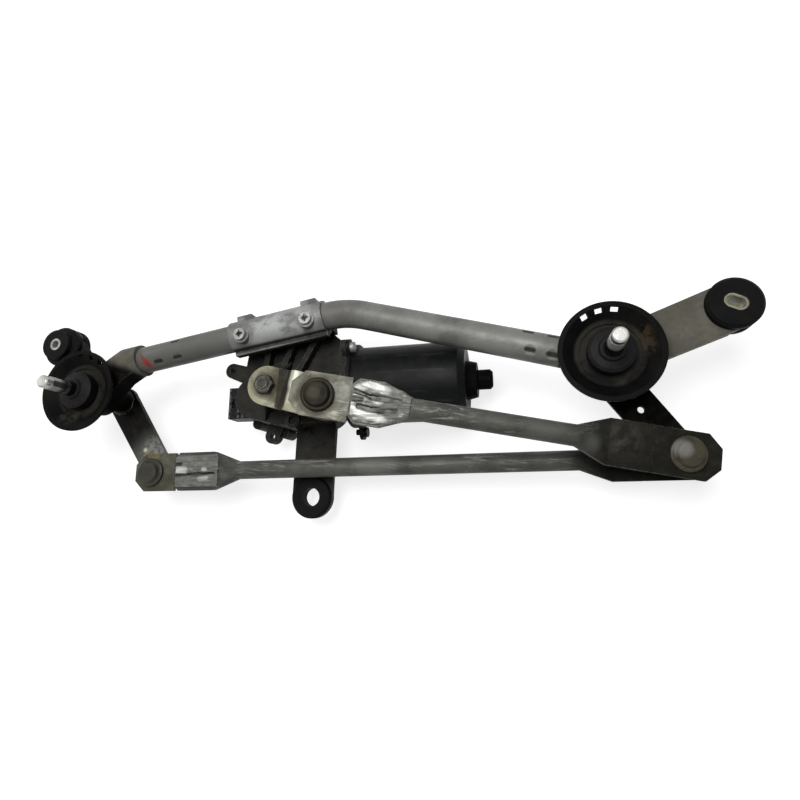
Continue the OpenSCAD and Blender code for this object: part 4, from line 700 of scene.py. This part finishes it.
def torn_crimp(name, rod, axes, near, far, half, taper, grooves, material):
    bpy.ops.object.select_all(action="DESELECT")
    bpy.ops.mesh.primitive_grid_add(x_subdivisions=GRID_ALONG, y_subdivisions=GRID_ACROSS, size=1.0)
    piece = bpy.context.object
    for corner in piece.data.uv_layers[0].data:
        corner.uv = (corner.uv.x * FOLD_STRETCH, corner.uv.y)
    piece.scale = ((far - near) * MM, 2.0 * half * MM, 1.0)
    bpy.ops.object.transform_apply(location=False, rotation=False, scale=True)
    apply_modifier(piece, "SIMPLE_DEFORM", deform_method="TAPER", deform_axis="X", factor=taper)
    middle = (near + far) / 2.0
    piece.matrix_world = axes @ Matrix.Translation((middle * MM, 0.0, START_ABOVE))
    apply_modifier(piece, "SHRINKWRAP", wrap_method="PROJECT", target=nodes[rod], use_project_z=True,
                   use_negative_direction=True, use_positive_direction=False, offset=0.0)
    pick_vertices(piece, lambda at: at.z > MISSED_ABOVE)
    bpy.ops.mesh.delete(type="VERT")
    bpy.ops.mesh.select_all(action="SELECT")
    up = axes.to_3x3() @ Vector((0.0, 0.0, MM))
    bpy.ops.transform.translate(value=SKIN_RISE * up)
    for start, end, side, lean, width, depth in grooves:
        for share in GROOVE_STEPS:
            pick_vertices(piece, lambda at: start < at.x / MM + middle < end and
                          abs(at.y / MM - side - lean * (at.x / MM + middle - start)) < share * width)
            bpy.ops.transform.translate(value=-depth / len(GROOVE_STEPS) * up)
    bpy.ops.object.mode_set(mode="OBJECT")
    folds = bpy.data.textures.new(name + "_folds", "CLOUDS")
    folds.noise_scale = FOLD_SCALE
    folds.noise_depth = FOLD_DETAIL
    apply_modifier(piece, "DISPLACE", texture=folds, texture_coords="UV", direction="NORMAL",
                   strength=FOLD_HEIGHT * MM, mid_level=0.5)
    apply_modifier(piece, "SMOOTH", factor=0.5, iterations=2)
    for ring in range(BORDER_RINGS):
        bpy.ops.object.mode_set(mode="EDIT")
        bpy.ops.mesh.select_mode(type="VERT")
        bpy.ops.mesh.select_all(action="DESELECT")
        bpy.ops.mesh.select_non_manifold()
        for _ in range(ring):
            bpy.ops.mesh.select_more()
        bpy.ops.transform.translate(value=-BORDER_SINK * up)
        bpy.ops.object.mode_set(mode="OBJECT")
    apply_modifier(piece, "SOLIDIFY", thickness=SKIN_THICKNESS, offset=-1.0)
    settle(piece, name, rod, material)


def groove_shade(axes, grooves):
    marks = []
    for start, end, side, lean, width, _ in grooves:
        near = axes @ mm(start + GROOVE_SHADE_INSET, side, GROOVE_SHADE_HEIGHT)
        far = axes @ mm(end - GROOVE_SHADE_INSET, side + lean * (end - start), GROOVE_SHADE_HEIGHT)
        marks.append((near / MM, far / MM, GROOVE_SHADE_WIDTH * width, GROOVE_SHADE_BLUR * width, GRIME_AND_SHADE, GROOVE_SHADE_SHARE, 0))
    return marks


def rod_marks(axes, marks):
    return [(axes @ mm(*near, height) / MM, axes @ mm(*far, height) / MM, *rest)
            for near, far, height, *rest in marks]


DRIVE_AXES = rod_axes(mm(33.889, 68.978, 78.3), mm(278.173, 26.058, 33.0))
LINK_AXES = rod_axes(mm(-140.327, 21.058, 21.0), mm(278.173, 26.058, 11.0))
# Grooves: start and end along the rod, side, lean, width and depth
DRIVE_GROOVES = ((24.0, 40.0, 6.6, -0.18, 1.8, 2.2), (38.0, 60.0, 4.0, -0.06, 2.2, 2.4),
                 (29.0, 48.0, -3.6, -0.10, 1.9, 2.2), (46.0, 58.0, -5.2, 0.16, 1.5, 1.8),
                 (24.0, 33.0, 0.8, 0.05, 1.6, 2.0))
LINK_GROOVES = ((25.0, 62.0, -3.0, 0.03, 1.1, 1.6), (24.0, 31.0, 6.0, 0.0, 1.4, 1.6))
# Marks along a rod: from and to (along, side), height, radius, blur, colour, share, ragged scale
# The bare zinc tone is bare metal on the torn lips and painted highlight on their crests
BARE_ZINC_AND_HIGHLIGHT, PLATE_TONE = (0.62, 0.62, 0.59), (0.165, 0.162, 0.130)
DRIVE_MARKS = (((18.0, -13.0), (18.0, 13.0), 4.0, 7.0, 5.0, PLATE_TONE, 0.9, 55.0),
               ((20.0, 3.5), (35.0, 12.4), 4.6, 1.1, 2.6, BARE_ZINC_AND_HIGHLIGHT, 0.85, 45.0),
               ((35.0, 12.4), (52.0, 9.4), 4.6, 1.3, 2.6, BARE_ZINC_AND_HIGHLIGHT, 0.9, 0),
               ((20.0, -0.8), (30.0, -7.4), 4.6, 0.9, 2.4, BARE_ZINC_AND_HIGHLIGHT, 0.8, 45.0),
               ((30.0, -7.4), (52.0, -11.0), 4.4, 1.3, 2.6, BARE_ZINC_AND_HIGHLIGHT, 0.9, 0),
               ((27.0, 2.6), (54.0, 1.0), 4.8, 0.8, 2.2, BARE_ZINC_AND_HIGHLIGHT, 0.8, 60.0))
LINK_MARKS = (((28.0, 1.4), (34.0, 1.0), 4.4, 1.4, 2.6, BARE_ZINC_AND_HIGHLIGHT, 0.85, 0),
              ((51.0, 1.4), (53.0, 1.2), 4.4, 0.5, 2.0, BARE_ZINC_AND_HIGHLIGHT, 0.7, 0),
              ((48.0, -6.6), (55.0, -6.2), 4.4, 0.6, 2.2, BARE_ZINC_AND_HIGHLIGHT, 0.55, 0))

DRIVE_TORN = finish(
    "drive_torn_zinc", (0.150, 0.150, 0.136), (0.066, 0.066, 0.058), 0.40, metal=0.2, mottle=60.0,
    scratch=(0.40, 0.40, 0.375), scratch_share=0.4, scratch_ways=(ALONG_DRIVE,), dust=EARTH,
    dust_share=0.2,
    strokes=(*rod_marks(DRIVE_AXES, DRIVE_MARKS),
             *groove_shade(DRIVE_AXES, DRIVE_GROOVES)))
LINK_TORN = finish(
    "link_torn_zinc", (0.135, 0.135, 0.123), (0.066, 0.066, 0.059), 0.40, metal=0.15, mottle=80.0,
    scratch=(0.32, 0.32, 0.30), scratch_share=0.5, scratch_ways=(ALONG_LINK,), dust=EARTH,
    dust_share=0.2,
    strokes=(*groove_shade(LINK_AXES, LINK_GROOVES),
             *rod_marks(LINK_AXES, LINK_MARKS)))
torn_crimp("drive_rod_crimp", "drive_rod", DRIVE_AXES, near=24.0, far=67.0, half=14.8, taper=-0.55,
           grooves=DRIVE_GROOVES, material=DRIVE_TORN)
torn_crimp("link_rod_crimp", "link_rod", LINK_AXES, near=24.5, far=66.0, half=14.0, taper=0.0,
           grooves=LINK_GROOVES, material=LINK_TORN)


# Splines on the shaft tips

TIP_LOW, TIP_HIGH, TIP_RADIUS, TEETH = 80.0, 92.0, 5.35, 36
VALLEY, TIP_TAPER, TIP_FOOT = 0.96, 0.985, 79.0
TIP_STEEL = finish(
    "tip_steel", (0.60, 0.60, 0.585), (0.42, 0.42, 0.405), 0.40, metal=0.15, mottle=60.0, grain=0.00002,
    # The dark line on the left tip's side is a painted reflection, and the dark spots at the feet are painted
    # shade
    strokes=(((-181.2, 86.6, TIP_FOOT), (-181.2, 86.6, 90.0), 1.8, 1.2, GRIME_AND_SHADE, 0.9, 0),),
    spots=(((*LEFT_PIVOT, TIP_FOOT), 5.5, 3.0, GRIME_AND_SHADE, 0.85, 0),
           ((*RIGHT_PIVOT, TIP_FOOT), 5.5, 2.0, GRIME_AND_SHADE, 0.6, 0)))


def knurled_tip(name, body, at):
    bpy.ops.object.select_all(action="DESELECT")
    bpy.ops.mesh.primitive_cylinder_add(vertices=2 * TEETH, radius=TIP_RADIUS * MM,
                                        depth=(TIP_HIGH - TIP_LOW) * MM,
                                        location=mm(*at, (TIP_LOW + TIP_HIGH) / 2.0))
    piece = bpy.context.object
    pick_vertices(piece, lambda co: round(math.atan2(co.y, co.x) / math.pi * TEETH) % 2 == 0)
    bpy.ops.transform.resize(value=(VALLEY, VALLEY, 1.0), center_override=mm(*at, 0.0))
    pick_vertices(piece, lambda co: co.z > 0.0)
    bpy.ops.transform.resize(value=(TIP_TAPER, TIP_TAPER, 1.0), center_override=mm(*at, 0.0))
    settle(piece, name, body, TIP_STEEL)


knurled_tip("left_tip_splines", "left_lever", LEFT_PIVOT)
knurled_tip("right_tip_splines", "right_lever", RIGHT_PIVOT)


# Latch tongue inside the socket's window

LATCH_AT, LATCH_SIZE = mm(-67.45, 79.0, 16.0), mm(5.9, 11.0, 5.0)
LATCH_SLOPE, LATCH_ROUND = 1.0, 0.0004


def connector_latch():
    bpy.ops.object.select_all(action="DESELECT")
    bpy.ops.mesh.primitive_cube_add(size=1.0, location=LATCH_AT)
    piece = bpy.context.object
    piece.scale = LATCH_SIZE
    bpy.ops.object.transform_apply(location=False, rotation=False, scale=True)
    pick_vertices(piece, lambda co: co.x < 0.0 and co.z > 0.0)
    bpy.ops.transform.translate(value=mm(0.0, 0.0, -LATCH_SLOPE))
    bpy.ops.object.mode_set(mode="OBJECT")
    apply_modifier(piece, "BEVEL", width=LATCH_ROUND, segments=2)
    plastic = nodes["connector_socket"].material_slots[0].material
    settle(piece, "connector_latch", "frame", plastic)


connector_latch()
